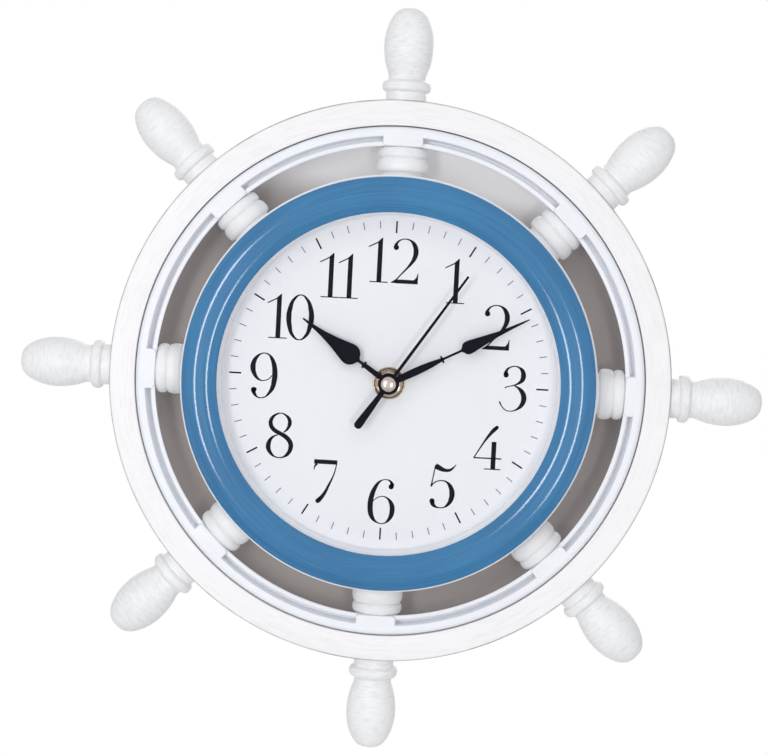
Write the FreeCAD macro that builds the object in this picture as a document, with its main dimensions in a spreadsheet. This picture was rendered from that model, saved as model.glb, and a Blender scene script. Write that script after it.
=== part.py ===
import FreeCAD, Part
import math
import os
from types import SimpleNamespace

import Sketcher
from FreeCAD import Placement, Rotation, Vector

# A ship's wheel wall clock with its quartz movement.
#
# Every piece is drawn lying on its back, as on a bench: x to the right, y towards twelve o'clock and
# z out of the wall towards the reader, with z = 0 at the wall. One placement then stands it up, so that
# the finished clock faces -Y with +Z up. Its origin is the middle of the keyhole that it hangs by, at
# the wall, and the dial axis runs along Y below it.

os.makedirs("parts", exist_ok=True)
doc = FreeCAD.newDocument("WheelClock")

# Driving sizes in millimetres, angles in degrees, grouped by the piece that owns them. Radii grow from the
# drum outwards and heights from the wall outwards, so a size that changes carries its neighbours along.
sizes = {
    # drum, which every radius follows
    "housingRadius": 96,
    "housingFrontWall": 15.5,
    "housingBackWall": 20,
    "webThickness": 3,
    "bushHoleClearance": 0.25,
    # turned spokes between the drum and the ring
    "spokeCount": 8,
    "spokeSpan": 14.7,
    "spokeBeadRadius": 11.8,
    "tenonWidth": 9,
    "innerTenonShare": 0.35,
    "outerTenonShare": 0.65,
    "handleTenonShare": 0.65,
    # moulded inner ring and outer band of the wheel
    "ringWidth": 9.3,
    "ringSeamBevel": 1.6,
    "ringRecessDepth": 4,
    "ringLedgeWidth": 2.5,
    "ringSlopeWidth": 1.7,
    "ringPadWidth": 18.3,
    "bandWidth": 12,
    "bandEdgeChamfer": 0.8,
    "rimThickness": 22,
    "rimWallGap": 1,
    # turned handles outside the band
    "handleLength": 43,
    "handleGripRadius": 11.8,
    # dial, its ring, the glass and the bezel
    "dialThickness": 0.5,
    "dialEdgeGap": 0.2,
    "dialRingTopWall": 1.4,
    "dialRingFootWall": 2.6,
    "dialRingFit": 0.1,
    "glassLap": 3.2,
    "glassThickness": 2,
    "glassFit": 0.1,
    "glassGap": 1.4,
    "bezelSetBack": 1.3,
    "bezelWidth": 15.7,
    "bezelHeight": 4.7,
    # keyhole hanger and its screws
    "hangerWidth": 44,
    "hangerHeight": 12,
    "hangerThickness": 1.5,
    "hangerInset": 9,
    "hangerFit": 0.1,
    "keyholeRadius": 4,
    "keyholeSlotWidth": 4,
    "keyholeSlotRise": 4,
    "keyholeDrop": 1.6,
    "hookPocketWidth": 18,
    "hookPocketHeight": 11,
    "hookPocketDepth": 9,
    "hangerScrewInset": 5,
    "hangerScrewRadius": 1.5,
    "hangerScrewHeadRadius": 3,
    "hangerScrewLength": 12,
    "screwSlotWidth": 0.8,
    "screwSlotDepth": 0.5,
    # threaded bush, gasket, washer and nut of the movement
    "bushRadius": 4,
    "bushFlangeRadius": 5.6,
    "bushFlangeThickness": 1,
    "gasketRadius": 9,
    "gasketThickness": 0.8,
    "washerRadius": 7.05,
    "washerThickness": 0.8,
    "nutRadius": 6,
    "nutThickness": 2.2,
    "bushNutProud": 0.4,
    # setting knob, behind the case
    "knobWallGap": 2.9,
    "knobRadius": 5,
    "knobThickness": 2.4,
    "knobGap": 0.4,
    # movement case
    "caseWall": 1.2,
    "caseFrontDepth": 6,
    "caseCornerChamfer": 1.2,
    "trainRoomBelow": 10,
    "batteryBayRoom": 1.4,
    "batteryBayWall": 1.2,
    "batteryBayFloor": 1,
    "pivotDepth": 0.7,
    "pivotEndGap": 0.1,
    "runningClearance": 0.05,
    # battery and contacts
    "batteryRadius": 7.1,
    "batteryLength": 49.5,
    "batteryNubRadius": 2.7,
    "batteryNubLength": 1,
    "batteryFit": 0.1,
    "contactThickness": 0.4,
    "contactWidth": 8,
    "contactSpringWidth": 4,
    "contactSpringReach": 2.7,
    # layers of the train, as heights over the inside of the back of the case
    "wheelThickness": 0.8,
    "layerPitch": 1.3,
    "firstLayer": 1,
    "middlePlateGap": 0.6,
    "middlePlateThickness": 1,
    "motionLayerGap": 0.6,
    "motionWheelThickness": 1,
    "hourLayerGap": 0.6,
    "trainHeadroom": 2.1,
    # arbors and tubes
    "arborRadius": 0.5,
    "minuteTubeWall": 1.05,
    "hourTubeWall": 0.9,
    "settingShaftRadius": 1,
    "motionStudRadius": 0.8,
    "motionStudEnd": 0.4,
    # teeth
    "rotorModule": 0.3,
    "secondModule": 0.34,
    "thirdModule": 0.28,
    "motionModule": 0.48,
    "rotorPinionTeeth": 8,
    "intermediateWheelTeeth": 40,
    "intermediatePinionTeeth": 8,
    "secondWheelTeeth": 48,
    "secondPinionTeeth": 8,
    "thirdWheelTeeth": 60,
    "thirdPinionTeeth": 8,
    "centreWheelTeeth": 64,
    "cannonPinionTeeth": 10,
    "motionWheelTeeth": 30,
    "motionPinionTeeth": 8,
    "hourWheelTeeth": 32,
    "settingPinionTeeth": 10,
    "toothTipShare": 0.2,
    "pinionLandShare": 0.55,
    "addendumShare": 0.85,
    "wheelRootShare": 2.1,
    "pinionRootShare": 1.3,
    # where the arbors stand round the centre, as angles from three o'clock
    "thirdAngle": 160,
    "intermediateAngle": 80,
    "rotorAngle": 100,
    "motionAngle": -8,
    "settingAngle": 60,
    # motor
    "rotorMagnetRadius": 2.7,
    "rotorMagnetThickness": 2.2,
    "rotorMagnetStart": 3.2,
    "statorThickness": 0.8,
    "statorStart": 3.8,
    "statorGap": 0.5,
    "statorEndGap": 9.8,
    "statorBarWidth": 7.6,
    "statorLegWidth": 4,
    "coilEndGap": 1,
    "coilRadius": 2.8,
    "coilCoreWidth": 2.2,
    "bobbinCheekRadius": 3.1,
    "bobbinCheekThickness": 0.8,
    "bobbinWall": 0.5,
    "coilTopGap": 0.334,
    # circuit board
    "boardThickness": 0.8,
    "boardEndGap": 2.8,
    "boardHeight": 12,
    "chipSize": 5,
    "chipThickness": 1,
    "chipPlace": 10,
    "crystalRadius": 1,
    "crystalLength": 6,
    "crystalPlace": -12,
    # hands
    "handTipGap": 5.8,
    "hourLengthShare": 0.679,
    "secondLengthShare": 0.864,
    "secondTailShare": 0.335,
    "hourHandAngle": 304.5,
    "minuteHandAngle": 62.6,
    "secondHandAngle": 33.8,
    "handGap": 0.6,
    "hubHeight": 1.2,
    "tubeProud": 0.4,
    "hourHubWall": 1.85,
    "minuteHubWall": 3.4,
    "handThickness": 0.5,
    "secondHandThickness": 0.4,
    "secondHubWall": 1.7,
    "secondHubHeight": 0.8,
    "capRadius": 3.65,
    "capHeight": 1.4,
    "capCrownRadius": 2,
}

sheet = doc.addObject("Spreadsheet::Sheet", "Sizes")
for row, (name, value) in enumerate(sizes.items(), start=1):
    sheet.set(f"A{row}", name)
    sheet.set(f"B{row}", str(value))
    sheet.setAlias(f"B{row}", name)
doc.recompute()


# A length that knows its value and the formula that binds it to the sheet
class Size:
    def __init__(self, value, formula):
        self.value = float(value)
        self.formula = formula

    def __float__(self):
        return self.value

    def __add__(self, other):
        return combined(self, other, "+")

    def __radd__(self, other):
        return combined(other, self, "+")

    def __sub__(self, other):
        return combined(self, other, "-")

    def __rsub__(self, other):
        return combined(other, self, "-")

    def __mul__(self, other):
        return combined(self, other, "*")

    def __rmul__(self, other):
        return combined(other, self, "*")

    def __truediv__(self, other):
        return combined(self, other, "/")

    def __neg__(self):
        return combined(0, self, "-")


def asSize(number):
    return number if isinstance(number, Size) else Size(number, f"{float(number):.12g}")


def combined(left, right, sign):
    a = asSize(left)
    b = asSize(right)
    value = {
        "+": lambda: a.value + b.value,
        "-": lambda: a.value - b.value,
        "*": lambda: a.value * b.value,
        "/": lambda: a.value / b.value,
    }[sign]()
    return Size(value, f"({a.formula} {sign} {b.formula})")


mm = SimpleNamespace(**{name: Size(sheet.get(name), "Sizes." + name) for name in sizes})
hangerMiddle = mm.housingRadius - mm.hangerInset
screwReach = mm.hangerWidth / 2 - mm.hangerScrewInset
keyholeHeight = hangerMiddle - mm.keyholeDrop
standUp = Placement(Vector(0, 0, -float(keyholeHeight)), Rotation(Vector(1, 0, 0), 90))
upAxis = Vector(0, 0, 1)
pieces = []


# Helpers for sketches, bodies and plain shapes


def originPart(body, role):
    for feature in body.Origin.OriginFeatures:
        if feature.Role == role:
            return feature
    raise ValueError(role)


def newBody(label, turn=0):
    body = doc.addObject("PartDesign::Body", label)
    body.Label = label
    body.Placement = standUp.multiply(Placement(Vector(0, 0, 0), Rotation(upAxis, turn)))
    return body


def newSketch(body, role, base=0):
    sketch = body.newObject("Sketcher::SketchObject", body.Name + "Sketch")
    sketch.AttachmentSupport = [(originPart(body, role), "")]
    sketch.MapMode = "FlatFace"
    if isinstance(base, Size):
        sketch.setExpression("AttachmentOffset.Base.z", base.formula)
    return sketch


def arcBetween(start, end, radius):
    # a positive radius turns left along the way, a negative one right
    chord = end - start
    rise = math.sqrt(max(radius * radius - chord.Length * chord.Length / 4, 0))
    side = Vector(-chord.y, chord.x, 0).normalize() * math.copysign(rise, radius)
    centre = (start + end) * 0.5 + side
    first, last = (start, end) if radius > 0 else (end, start)
    angles = [math.atan2(p.y - centre.y, p.x - centre.x) for p in (first, last)]
    if angles[1] < angles[0]:
        angles[1] += 2 * math.pi
    return Part.ArcOfCircle(Part.Circle(centre, upAxis, abs(radius)), angles[0], angles[1])


def bindPlace(sketch, geometry, corner, x, y):
    for kind, value, axis in (("DistanceX", x, -2), ("DistanceY", y, -1)):
        if isinstance(value, Size):
            index = sketch.addConstraint(
                Sketcher.Constraint(kind, -1, 1, geometry, corner, float(value))
            )
            sketch.setExpression(f"Constraints[{index}]", value.formula)
        else:
            sketch.addConstraint(Sketcher.Constraint("PointOnObject", geometry, corner, axis))


def drawOutline(sketch, outline):
    # a closed outline of points (x, y), or (x, y, radius) where an arc of that radius leads to the point
    points = [Vector(float(p[0]), float(p[1]), 0) for p in outline]
    first = sketch.GeometryCount
    for index, point in enumerate(points):
        nextIndex = (index + 1) % len(points)
        target = outline[nextIndex]
        if len(target) == 3:
            edge = arcBetween(point, points[nextIndex], float(target[2]))
        else:
            edge = Part.LineSegment(point, points[nextIndex])
        sketch.addGeometry(edge, False)
    count = len(points)
    for index in range(count):
        target = outline[(index + 1) % count]
        backwards = len(target) == 3 and float(target[2]) < 0
        following = outline[(index + 2) % count]
        nextBackwards = len(following) == 3 and float(following[2]) < 0
        startCorner = 2 if backwards else 1
        endCorner = 1 if backwards else 2
        nextStart = 2 if nextBackwards else 1
        here = first + index
        after = first + (index + 1) % count
        sketch.addConstraint(Sketcher.Constraint("Coincident", here, endCorner, after, nextStart))
        bindPlace(sketch, here, startCorner, outline[index][0], outline[index][1])
        if len(target) == 3:
            radius = -target[2] if backwards else target[2]
            bound = sketch.addConstraint(Sketcher.Constraint("Radius", here, float(radius)))
            sketch.setExpression(f"Constraints[{bound}]", radius.formula)


def drawCircle(sketch, x, y, radius):
    circle = Part.Circle(Vector(float(x), float(y), 0), upAxis, float(radius))
    index = sketch.addGeometry(circle, False)
    bindPlace(sketch, index, 3, x, y)
    bound = sketch.addConstraint(Sketcher.Constraint("Radius", index, float(radius)))
    sketch.setExpression(f"Constraints[{bound}]", radius.formula)


def turned(body, outline, kind="Revolution", axis="V_Axis", angle=None):
    sketch = newSketch(body, "XZ_Plane")
    drawOutline(sketch, outline)
    feature = body.newObject("PartDesign::" + kind, body.Name + kind)
    feature.Profile = sketch
    feature.ReferenceAxis = (sketch, [axis])
    feature.Angle = 360
    if angle is not None:
        feature.Midplane = True
        feature.setExpression("Angle", angle.formula)
    sketch.Visibility = False
    return feature


def padded(body, outlines, circles, base, height):
    sketch = newSketch(body, "XY_Plane", base)
    for outline in outlines:
        drawOutline(sketch, outline)
    for x, y, radius in circles:
        drawCircle(sketch, x, y, radius)
    pad = body.newObject("PartDesign::Pad", body.Name + "Pad")
    pad.Profile = sketch
    pad.setExpression("Length", height.formula)
    return pad


def placed(feature, x, y, z):
    for letter, value in zip("xyz", (x, y, z)):
        if isinstance(value, Size):
            feature.setExpression(f"Placement.Base.{letter}", value.formula)
    return feature


def block(body, kind, x, y, z, length, width, height):
    # a box with its low corner at x, y, z
    box = body.newObject(f"PartDesign::{kind}Box", f"{body.Name}{kind}Box")
    box.setExpression("Length", length.formula)
    box.setExpression("Width", width.formula)
    box.setExpression("Height", height.formula)
    return placed(box, x, y, z)


def barrel(body, kind, x, y, z, radius, height):
    cylinder = body.newObject(f"PartDesign::{kind}Cylinder", f"{body.Name}{kind}Cylinder")
    cylinder.setExpression("Radius", radius.formula)
    cylinder.setExpression("Height", height.formula)
    return placed(cylinder, x, y, z)


def repeated(body, features, count):
    pattern = body.newObject("PartDesign::PolarPattern", body.Name + "Pattern")
    pattern.Originals = features
    pattern.Axis = (originPart(body, "Z_Axis"), [""])
    pattern.Angle = 360
    pattern.setExpression("Occurrences", count.formula)
    body.Tip = pattern
    return pattern


def shaped(label, shape, turn=0):
    piece = doc.addObject("Part::Feature", label)
    piece.Label = label
    piece.Shape = shape
    piece.Placement = standUp.multiply(Placement(Vector(0, 0, 0), Rotation(upAxis, turn)))
    pieces.append(piece)
    return piece


def rod(x, y, z, radius, height):
    return Part.makeCylinder(float(radius), float(height), Vector(float(x), float(y), float(z)))


def pipe(x, y, z, radius, bore, height):
    return rod(x, y, z, radius, height).cut(rod(x, y, z, bore, height))


def slab(x, y, z, length, width, height):
    corner = Vector(float(x), float(y), float(z))
    return Part.makeBox(float(length), float(width), float(height), corner)


def joined(shapes):
    return shapes[0].fuse(shapes[1:]).removeSplitter()


# Radii from the drum outwards and inwards

backRecessRadius = mm.housingRadius - mm.housingBackWall
housingBoreRadius = mm.housingRadius - mm.housingFrontWall
ringInnerRadius = mm.housingRadius + mm.spokeSpan
seamRadius = ringInnerRadius + mm.ringWidth
rimOuterRadius = seamRadius + mm.bandWidth
bezelOuterRadius = mm.housingRadius - mm.bezelSetBack
bezelInnerRadius = bezelOuterRadius - mm.bezelWidth
glassRadius = bezelInnerRadius + mm.glassLap
dialRingOuterRadius = housingBoreRadius - mm.dialRingFit
dialOpenRadius = dialRingOuterRadius - mm.dialRingFootWall
spokeInnerTenon = mm.housingBackWall * mm.innerTenonShare
spokeOuterTenon = mm.ringWidth * mm.outerTenonShare
handleTenon = mm.bandWidth * mm.handleTenonShare

pivotRadius = mm.arborRadius + mm.runningClearance
minuteBoreRadius = mm.arborRadius + mm.runningClearance
minuteTubeRadius = minuteBoreRadius + mm.minuteTubeWall
hourBoreRadius = minuteTubeRadius + mm.runningClearance
hourTubeRadius = hourBoreRadius + mm.hourTubeWall
bushBoreRadius = hourTubeRadius + mm.runningClearance * 2

# Heights from the wall outwards: knob, case with its layers, web, dial and fixings, hands, glass

rimBack = mm.rimWallGap
rimFront = mm.rimWallGap + mm.rimThickness
rimMiddle = mm.rimWallGap + mm.rimThickness / 2

knobBack = mm.knobWallGap
knobFront = knobBack + mm.knobThickness
caseBack = knobFront + mm.knobGap
caseFloor = caseBack + mm.caseWall
pivotFoot = caseFloor - mm.pivotDepth + mm.pivotEndGap

rotorLayer = caseFloor + mm.firstLayer
secondLayer = rotorLayer + mm.layerPitch
thirdLayer = secondLayer + mm.layerPitch
centreLayer = thirdLayer + mm.layerPitch
middlePlateBack = centreLayer + mm.wheelThickness + mm.middlePlateGap
middlePlateFront = middlePlateBack + mm.middlePlateThickness
motionLayer = middlePlateFront + mm.motionLayerGap
hourLayer = motionLayer + mm.motionWheelThickness + mm.hourLayerGap

bushFoot = hourLayer + mm.motionWheelThickness + mm.trainHeadroom
caseCeiling = bushFoot + mm.bushFlangeThickness
caseFront = caseCeiling + mm.caseWall
caseJoin = caseFront - mm.caseFrontDepth
webBack = caseFront + mm.gasketThickness
webFront = webBack + mm.webThickness
dialFront = webFront + mm.dialThickness

washerFront = dialFront + mm.washerThickness
nutFront = washerFront + mm.nutThickness
bushFront = nutFront + mm.bushNutProud
hourHandBack = bushFront + mm.handGap
hourTubeFront = hourHandBack + mm.hubHeight + mm.tubeProud
minuteHandBack = hourTubeFront + mm.handGap
minuteTubeFront = minuteHandBack + mm.hubHeight + mm.tubeProud
secondHandBack = minuteTubeFront + mm.handGap
secondArborFront = secondHandBack + mm.secondHubHeight
glassBack = secondArborFront + mm.capHeight + mm.glassGap
bezelRebate = glassBack + mm.glassThickness + mm.glassFit

# Where the arbors stand, set by the teeth of the wheels that mesh


def polar(start, distance, angle):
    turn = math.radians(float(angle))
    return (
        start[0] + float(distance) * math.cos(turn),
        start[1] + float(distance) * math.sin(turn),
    )


def meshDistance(module, first, second):
    return module * (first + second) / 2


def axisOf(name):
    centre = (0.0, 0.0)
    if name == "centre":
        return centre
    if name == "third":
        distance = meshDistance(mm.thirdModule, mm.secondPinionTeeth, mm.thirdWheelTeeth)
        return polar(centre, distance, mm.thirdAngle)
    if name in ("intermediate", "rotor"):
        distance = meshDistance(
            mm.secondModule, mm.intermediatePinionTeeth, mm.secondWheelTeeth
        )
        intermediate = polar(centre, distance, mm.intermediateAngle)
        if name == "intermediate":
            return intermediate
        reach = meshDistance(mm.rotorModule, mm.rotorPinionTeeth, mm.intermediateWheelTeeth)
        return polar(intermediate, reach, mm.rotorAngle)
    distance = meshDistance(mm.motionModule, mm.cannonPinionTeeth, mm.motionWheelTeeth)
    motion = polar(centre, distance, mm.motionAngle)
    if name == "motion":
        return motion
    reach = meshDistance(mm.motionModule, mm.settingPinionTeeth, mm.motionWheelTeeth)
    return polar(motion, reach, mm.settingAngle)


# Lengths of the hands, and sizes inside the movement case, which holds its battery below the train

minuteHandLength = dialOpenRadius - mm.handTipGap
hourHandLength = minuteHandLength * mm.hourLengthShare
secondHandLength = minuteHandLength * mm.secondLengthShare
secondHandTail = minuteHandLength * mm.secondTailShare

batteryPlace = mm.contactSpringReach + mm.batteryLength + mm.batteryNubLength
cavityHalf = (batteryPlace + mm.contactThickness) / 2
caseHalf = cavityHalf + mm.caseWall
bayHeight = mm.batteryRadius * 2 + mm.batteryBayRoom
cavityBottom = -mm.trainRoomBelow
bayBottom = cavityBottom - mm.batteryBayWall - bayHeight
caseBottom = bayBottom - mm.caseWall
batteryMiddle = bayBottom + bayHeight / 2
statorHalf = cavityHalf - mm.statorEndGap
coilUp = mm.statorBarWidth / 2 + mm.bobbinCheekRadius + axisOf("rotor")[1]
cavityTop = coilUp + mm.bobbinCheekRadius + mm.coilTopGap
cavityHeight = cavityTop - cavityBottom
caseTop = cavityTop + mm.caseWall
coilLength = (statorHalf - mm.statorLegWidth - mm.coilEndGap) * 2

# Profiles as shares. Spokes: along the span from the drum to the ring, and of the bead's radius
spokeProfileShares = [
    (1.12, 0.873),
    (1, 0.873),
    (0.88, 1),
    (0.68, 1),
    (0.565, 0.873),
    (0.45, 1),
    (0.28, 1),
    (0.165, 0.847),
]
# Handles: along the handle from its tip to the band, and of the grip's radius
handleProfileShares = [
    (1, 0.407),
    (0.86, 0.873),
    (0.628, 1),
    (0.43, 0.915),
    (0.233, 0.695),
    (0.188, 0.992),
    (0.142, 0.992),
    (0.098, 0.847),
]
# Bezel: inwards from its outer edge across its width, and of its height over the drum
bezelProfileShares = [
    (0, 0),
    (0, 0.255),
    (0.287, 0.596),
    (0.344, 0.766),
    (0.401, 0.66),
    (0.522, 0.787),
    (0.618, 1),
    (0.707, 0.872),
    (1, 0.766),
]


# Wheel: outer band, moulded ring, spokes and handles


def makeOuterBand():
    band = newBody("outer_rim")
    chamfer = mm.bandEdgeChamfer
    turned(
        band,
        [
            (seamRadius, rimBack),
            (rimOuterRadius, rimBack),
            (rimOuterRadius, rimFront - chamfer),
            (rimOuterRadius - chamfer, rimFront),
            (seamRadius, rimFront),
        ],
    )
    mortise = block(
        band,
        "Subtractive",
        rimOuterRadius - handleTenon,
        -mm.tenonWidth / 2,
        rimMiddle - mm.tenonWidth / 2,
        handleTenon * 2,
        mm.tenonWidth,
        mm.tenonWidth,
    )
    repeated(band, [mortise], mm.spokeCount)
    pieces.append(band)


def makeInnerRing():
    # the body is turned by half a spoke, so that its first recess lies on the sketch plane
    halfSpoke = 180 / float(mm.spokeCount)
    ring = newBody("inner_ring", halfSpoke)
    bevel = mm.ringSeamBevel
    turned(
        ring,
        [
            (ringInnerRadius, rimBack),
            (seamRadius, rimBack),
            (seamRadius, rimFront - bevel),
            (seamRadius - bevel, rimFront),
            (ringInnerRadius, rimFront),
        ],
    )
    ledge = rimFront - mm.ringRecessDepth
    above = rimFront + mm.ringRecessDepth
    inside = ringInnerRadius - mm.ringLedgeWidth
    foot = ringInnerRadius + mm.ringLedgeWidth
    brow = foot + mm.ringSlopeWidth
    padAngle = Size(
        360 / float(mm.spokeCount) - math.degrees(float(mm.ringPadWidth / ringInnerRadius)),
        "(360 / Sizes.spokeCount - 180 / pi * "
        + (mm.ringPadWidth / ringInnerRadius).formula
        + ")",
    )
    recess = turned(
        ring,
        [(inside, ledge), (foot, ledge), (brow, rimFront), (brow, above), (inside, above)],
        kind="Groove",
        angle=padAngle,
    )
    recesses = repeated(ring, [recess], mm.spokeCount)
    mortise = block(
        ring,
        "Subtractive",
        Size(0, "0"),
        Size(0, "0"),
        rimMiddle - mm.tenonWidth / 2,
        spokeOuterTenon * 2,
        mm.tenonWidth,
        mm.tenonWidth,
    )
    reach = ringInnerRadius - spokeOuterTenon
    turn = math.radians(halfSpoke)
    mortise.setExpression(
        "Placement.Base.x",
        f"{reach.formula} * {math.cos(turn):.12g} + Sizes.tenonWidth / 2 * {math.sin(turn):.12g}",
    )
    mortise.setExpression(
        "Placement.Base.y",
        f"{reach.formula} * {math.sin(turn):.12g} - Sizes.tenonWidth / 2 * {math.cos(turn):.12g}",
    )
    mortise.Placement.Rotation = Rotation(upAxis, halfSpoke)
    repeated(ring, [mortise], mm.spokeCount)
    recesses.Visibility = False
    pieces.append(ring)


def ringOf(label, body):
    # one solid for each spoke place, lifted to the middle of the wheel
    count = int(float(mm.spokeCount))
    copies = []
    for index in range(count):
        one = body.Shape.copy()
        one.Placement = Placement(
            Vector(0, 0, float(rimMiddle)), Rotation(upAxis, 360 * index / count)
        )
        copies.append(one)
    shaped(label, Part.makeCompound(copies))


def turnedAlongX(label):
    # a turned piece lies along x with its own axis at z = 0
    body = newBody(label)
    body.Placement = Placement()
    return body


def makeSpokes():
    spoke = turnedAlongX("spoke_pattern")
    radius = mm.spokeBeadRadius
    foot = mm.housingRadius - spokeInnerTenon / 2
    profile = [
        (mm.housingRadius + mm.spokeSpan * along, radius * across)
        for along, across in spokeProfileShares
    ]
    turned(
        spoke,
        [(foot, 0), (profile[0][0], 0)] + profile + [(foot, profile[-1][1])],
        axis="H_Axis",
    )
    # the ends are cut to the curve of the housing and of the ring, with a square tenon through each
    barrel(
        spoke, "Subtractive", 0, 0, -mm.rimThickness, mm.housingRadius, mm.rimThickness * 2
    )
    turned(
        spoke,
        [
            (ringInnerRadius, -radius * 2),
            (seamRadius + radius, -radius * 2),
            (seamRadius + radius, radius * 2),
            (ringInnerRadius, radius * 2),
        ],
        kind="Groove",
    )
    tenonStart = mm.housingRadius - spokeInnerTenon
    half = mm.tenonWidth / 2
    length = ringInnerRadius + spokeOuterTenon - tenonStart
    block(spoke, "Additive", tenonStart, -half, -half, length, mm.tenonWidth, mm.tenonWidth)
    doc.recompute()
    ringOf("spokes", spoke)


def makeHandles():
    handle = turnedAlongX("handle_pattern")
    root = rimOuterRadius
    foot = root - handleTenon / 2
    profile = [
        (root + mm.handleLength * along, mm.handleGripRadius * across)
        for along, across in handleProfileShares
    ]
    turned(
        handle,
        [(foot, 0), (profile[0][0], 0)] + profile + [(foot, profile[-1][1])],
        axis="H_Axis",
    )
    # the neck is cut to the curve of the band, with a square tenon into it
    barrel(
        handle, "Subtractive", 0, 0, -mm.rimThickness, rimOuterRadius, mm.rimThickness * 2
    )
    half = mm.tenonWidth / 2
    block(
        handle,
        "Additive",
        root - handleTenon,
        -half,
        -half,
        handleTenon * 2,
        mm.tenonWidth,
        mm.tenonWidth,
    )
    doc.recompute()
    ringOf("handles", handle)


# Housing, dial, glass and bezel


def makeHousing():
    housing = newBody("housing")
    hole = mm.bushRadius + mm.bushHoleClearance
    turned(
        housing,
        [
            (hole, webBack),
            (backRecessRadius, webBack),
            (backRecessRadius, 0),
            (mm.housingRadius, 0),
            (mm.housingRadius, glassBack),
            (housingBoreRadius, glassBack),
            (housingBoreRadius, webFront),
            (hole, webFront),
        ],
    )
    mortise = block(
        housing,
        "Subtractive",
        mm.housingRadius - spokeInnerTenon,
        -mm.tenonWidth / 2,
        rimMiddle - mm.tenonWidth / 2,
        spokeInnerTenon * 2,
        mm.tenonWidth,
        mm.tenonWidth,
    )
    repeated(housing, [mortise], mm.spokeCount)
    fit = mm.hangerFit
    rebate = mm.hangerThickness
    block(
        housing,
        "Subtractive",
        -mm.hangerWidth / 2 - fit,
        hangerMiddle - mm.hangerHeight / 2 - fit,
        -rebate,
        mm.hangerWidth + fit * 2,
        mm.hangerHeight + fit * 2,
        rebate * 2,
    )
    block(
        housing,
        "Subtractive",
        -mm.hookPocketWidth / 2,
        hangerMiddle - mm.hookPocketHeight / 2,
        -rebate,
        mm.hookPocketWidth,
        mm.hookPocketHeight,
        mm.hookPocketDepth + rebate,
    )
    for side in (-1, 1):
        barrel(
            housing,
            "Subtractive",
            screwReach * side,
            hangerMiddle,
            0,
            mm.hangerScrewRadius,
            mm.hangerScrewLength,
        )
    pieces.append(housing)


def makeHanger():
    plate = newBody("hanger_plate")
    x = mm.hangerWidth / 2
    low = hangerMiddle - mm.hangerHeight / 2
    high = hangerMiddle + mm.hangerHeight / 2
    slot = mm.keyholeSlotWidth / 2
    shoulder = Size(
        float(keyholeHeight) + math.sqrt(float(mm.keyholeRadius) ** 2 - float(slot) ** 2),
        f"({keyholeHeight.formula} + sqrt(Sizes.keyholeRadius ^ 2 - {slot.formula} ^ 2))",
    )
    top = keyholeHeight + mm.keyholeSlotRise
    padded(
        plate,
        [
            [(-x, low), (x, low), (x, high), (-x, high)],
            [
                (-slot, shoulder),
                (0, keyholeHeight - mm.keyholeRadius, mm.keyholeRadius),
                (slot, shoulder, mm.keyholeRadius),
                (slot, top),
                (0, top + slot, slot),
                (-slot, top, slot),
            ],
        ],
        [],
        0,
        mm.hangerThickness,
    )
    # countersunk holes for the two screws
    for side in (-1, 1):
        cone = plate.newObject("PartDesign::SubtractiveCone", "hangerCountersink")
        cone.setExpression("Radius1", "Sizes.hangerScrewHeadRadius")
        cone.setExpression("Radius2", "Sizes.hangerScrewRadius")
        cone.setExpression("Height", "Sizes.hangerThickness")
        placed(cone, screwReach * side, hangerMiddle, 0)
    pieces.append(plate)

    screws = []
    for side in (-1, 1):
        x = float(screwReach) * side
        foot = Vector(x, float(hangerMiddle), 0)
        head = Part.makeCone(
            float(mm.hangerScrewHeadRadius),
            float(mm.hangerScrewRadius),
            float(mm.hangerThickness),
            foot,
        )
        shank = rod(x, hangerMiddle, 0, mm.hangerScrewRadius, mm.hangerScrewLength)
        slotCut = slab(
            x - float(mm.hangerScrewHeadRadius),
            hangerMiddle - mm.screwSlotWidth / 2,
            0,
            mm.hangerScrewHeadRadius * 2,
            mm.screwSlotWidth,
            mm.screwSlotDepth,
        )
        screws.append(joined([head, shank]).cut(slotCut))
    shaped("hanger_screws", Part.makeCompound(screws))


def makeDialAndRing():
    dial = newBody("dial")
    hole = mm.bushRadius + mm.bushHoleClearance
    edge = housingBoreRadius - mm.dialEdgeGap
    padded(dial, [], [(0, 0, edge), (0, 0, hole)], webFront, mm.dialThickness)
    pieces.append(dial)

    ring = newBody("dial_ring")
    outside = dialRingOuterRadius
    turned(
        ring,
        [
            (dialOpenRadius, dialFront),
            (outside, dialFront),
            (outside, glassBack),
            (outside - mm.dialRingTopWall, glassBack),
        ],
    )
    pieces.append(ring)


def makeGlassAndBezel():
    glass = newBody("glass")
    radius = glassRadius - mm.glassFit
    padded(glass, [], [(0, 0, radius)], glassBack, mm.glassThickness)
    pieces.append(glass)

    bezel = newBody("bezel")
    profile = [
        (bezelOuterRadius - mm.bezelWidth * inwards, glassBack + mm.bezelHeight * up)
        for inwards, up in bezelProfileShares
    ]
    turned(
        bezel,
        profile
        + [(bezelInnerRadius, bezelRebate), (glassRadius, bezelRebate), (glassRadius, glassBack)],
    )
    pieces.append(bezel)


# Fixings of the movement on the dial


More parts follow.
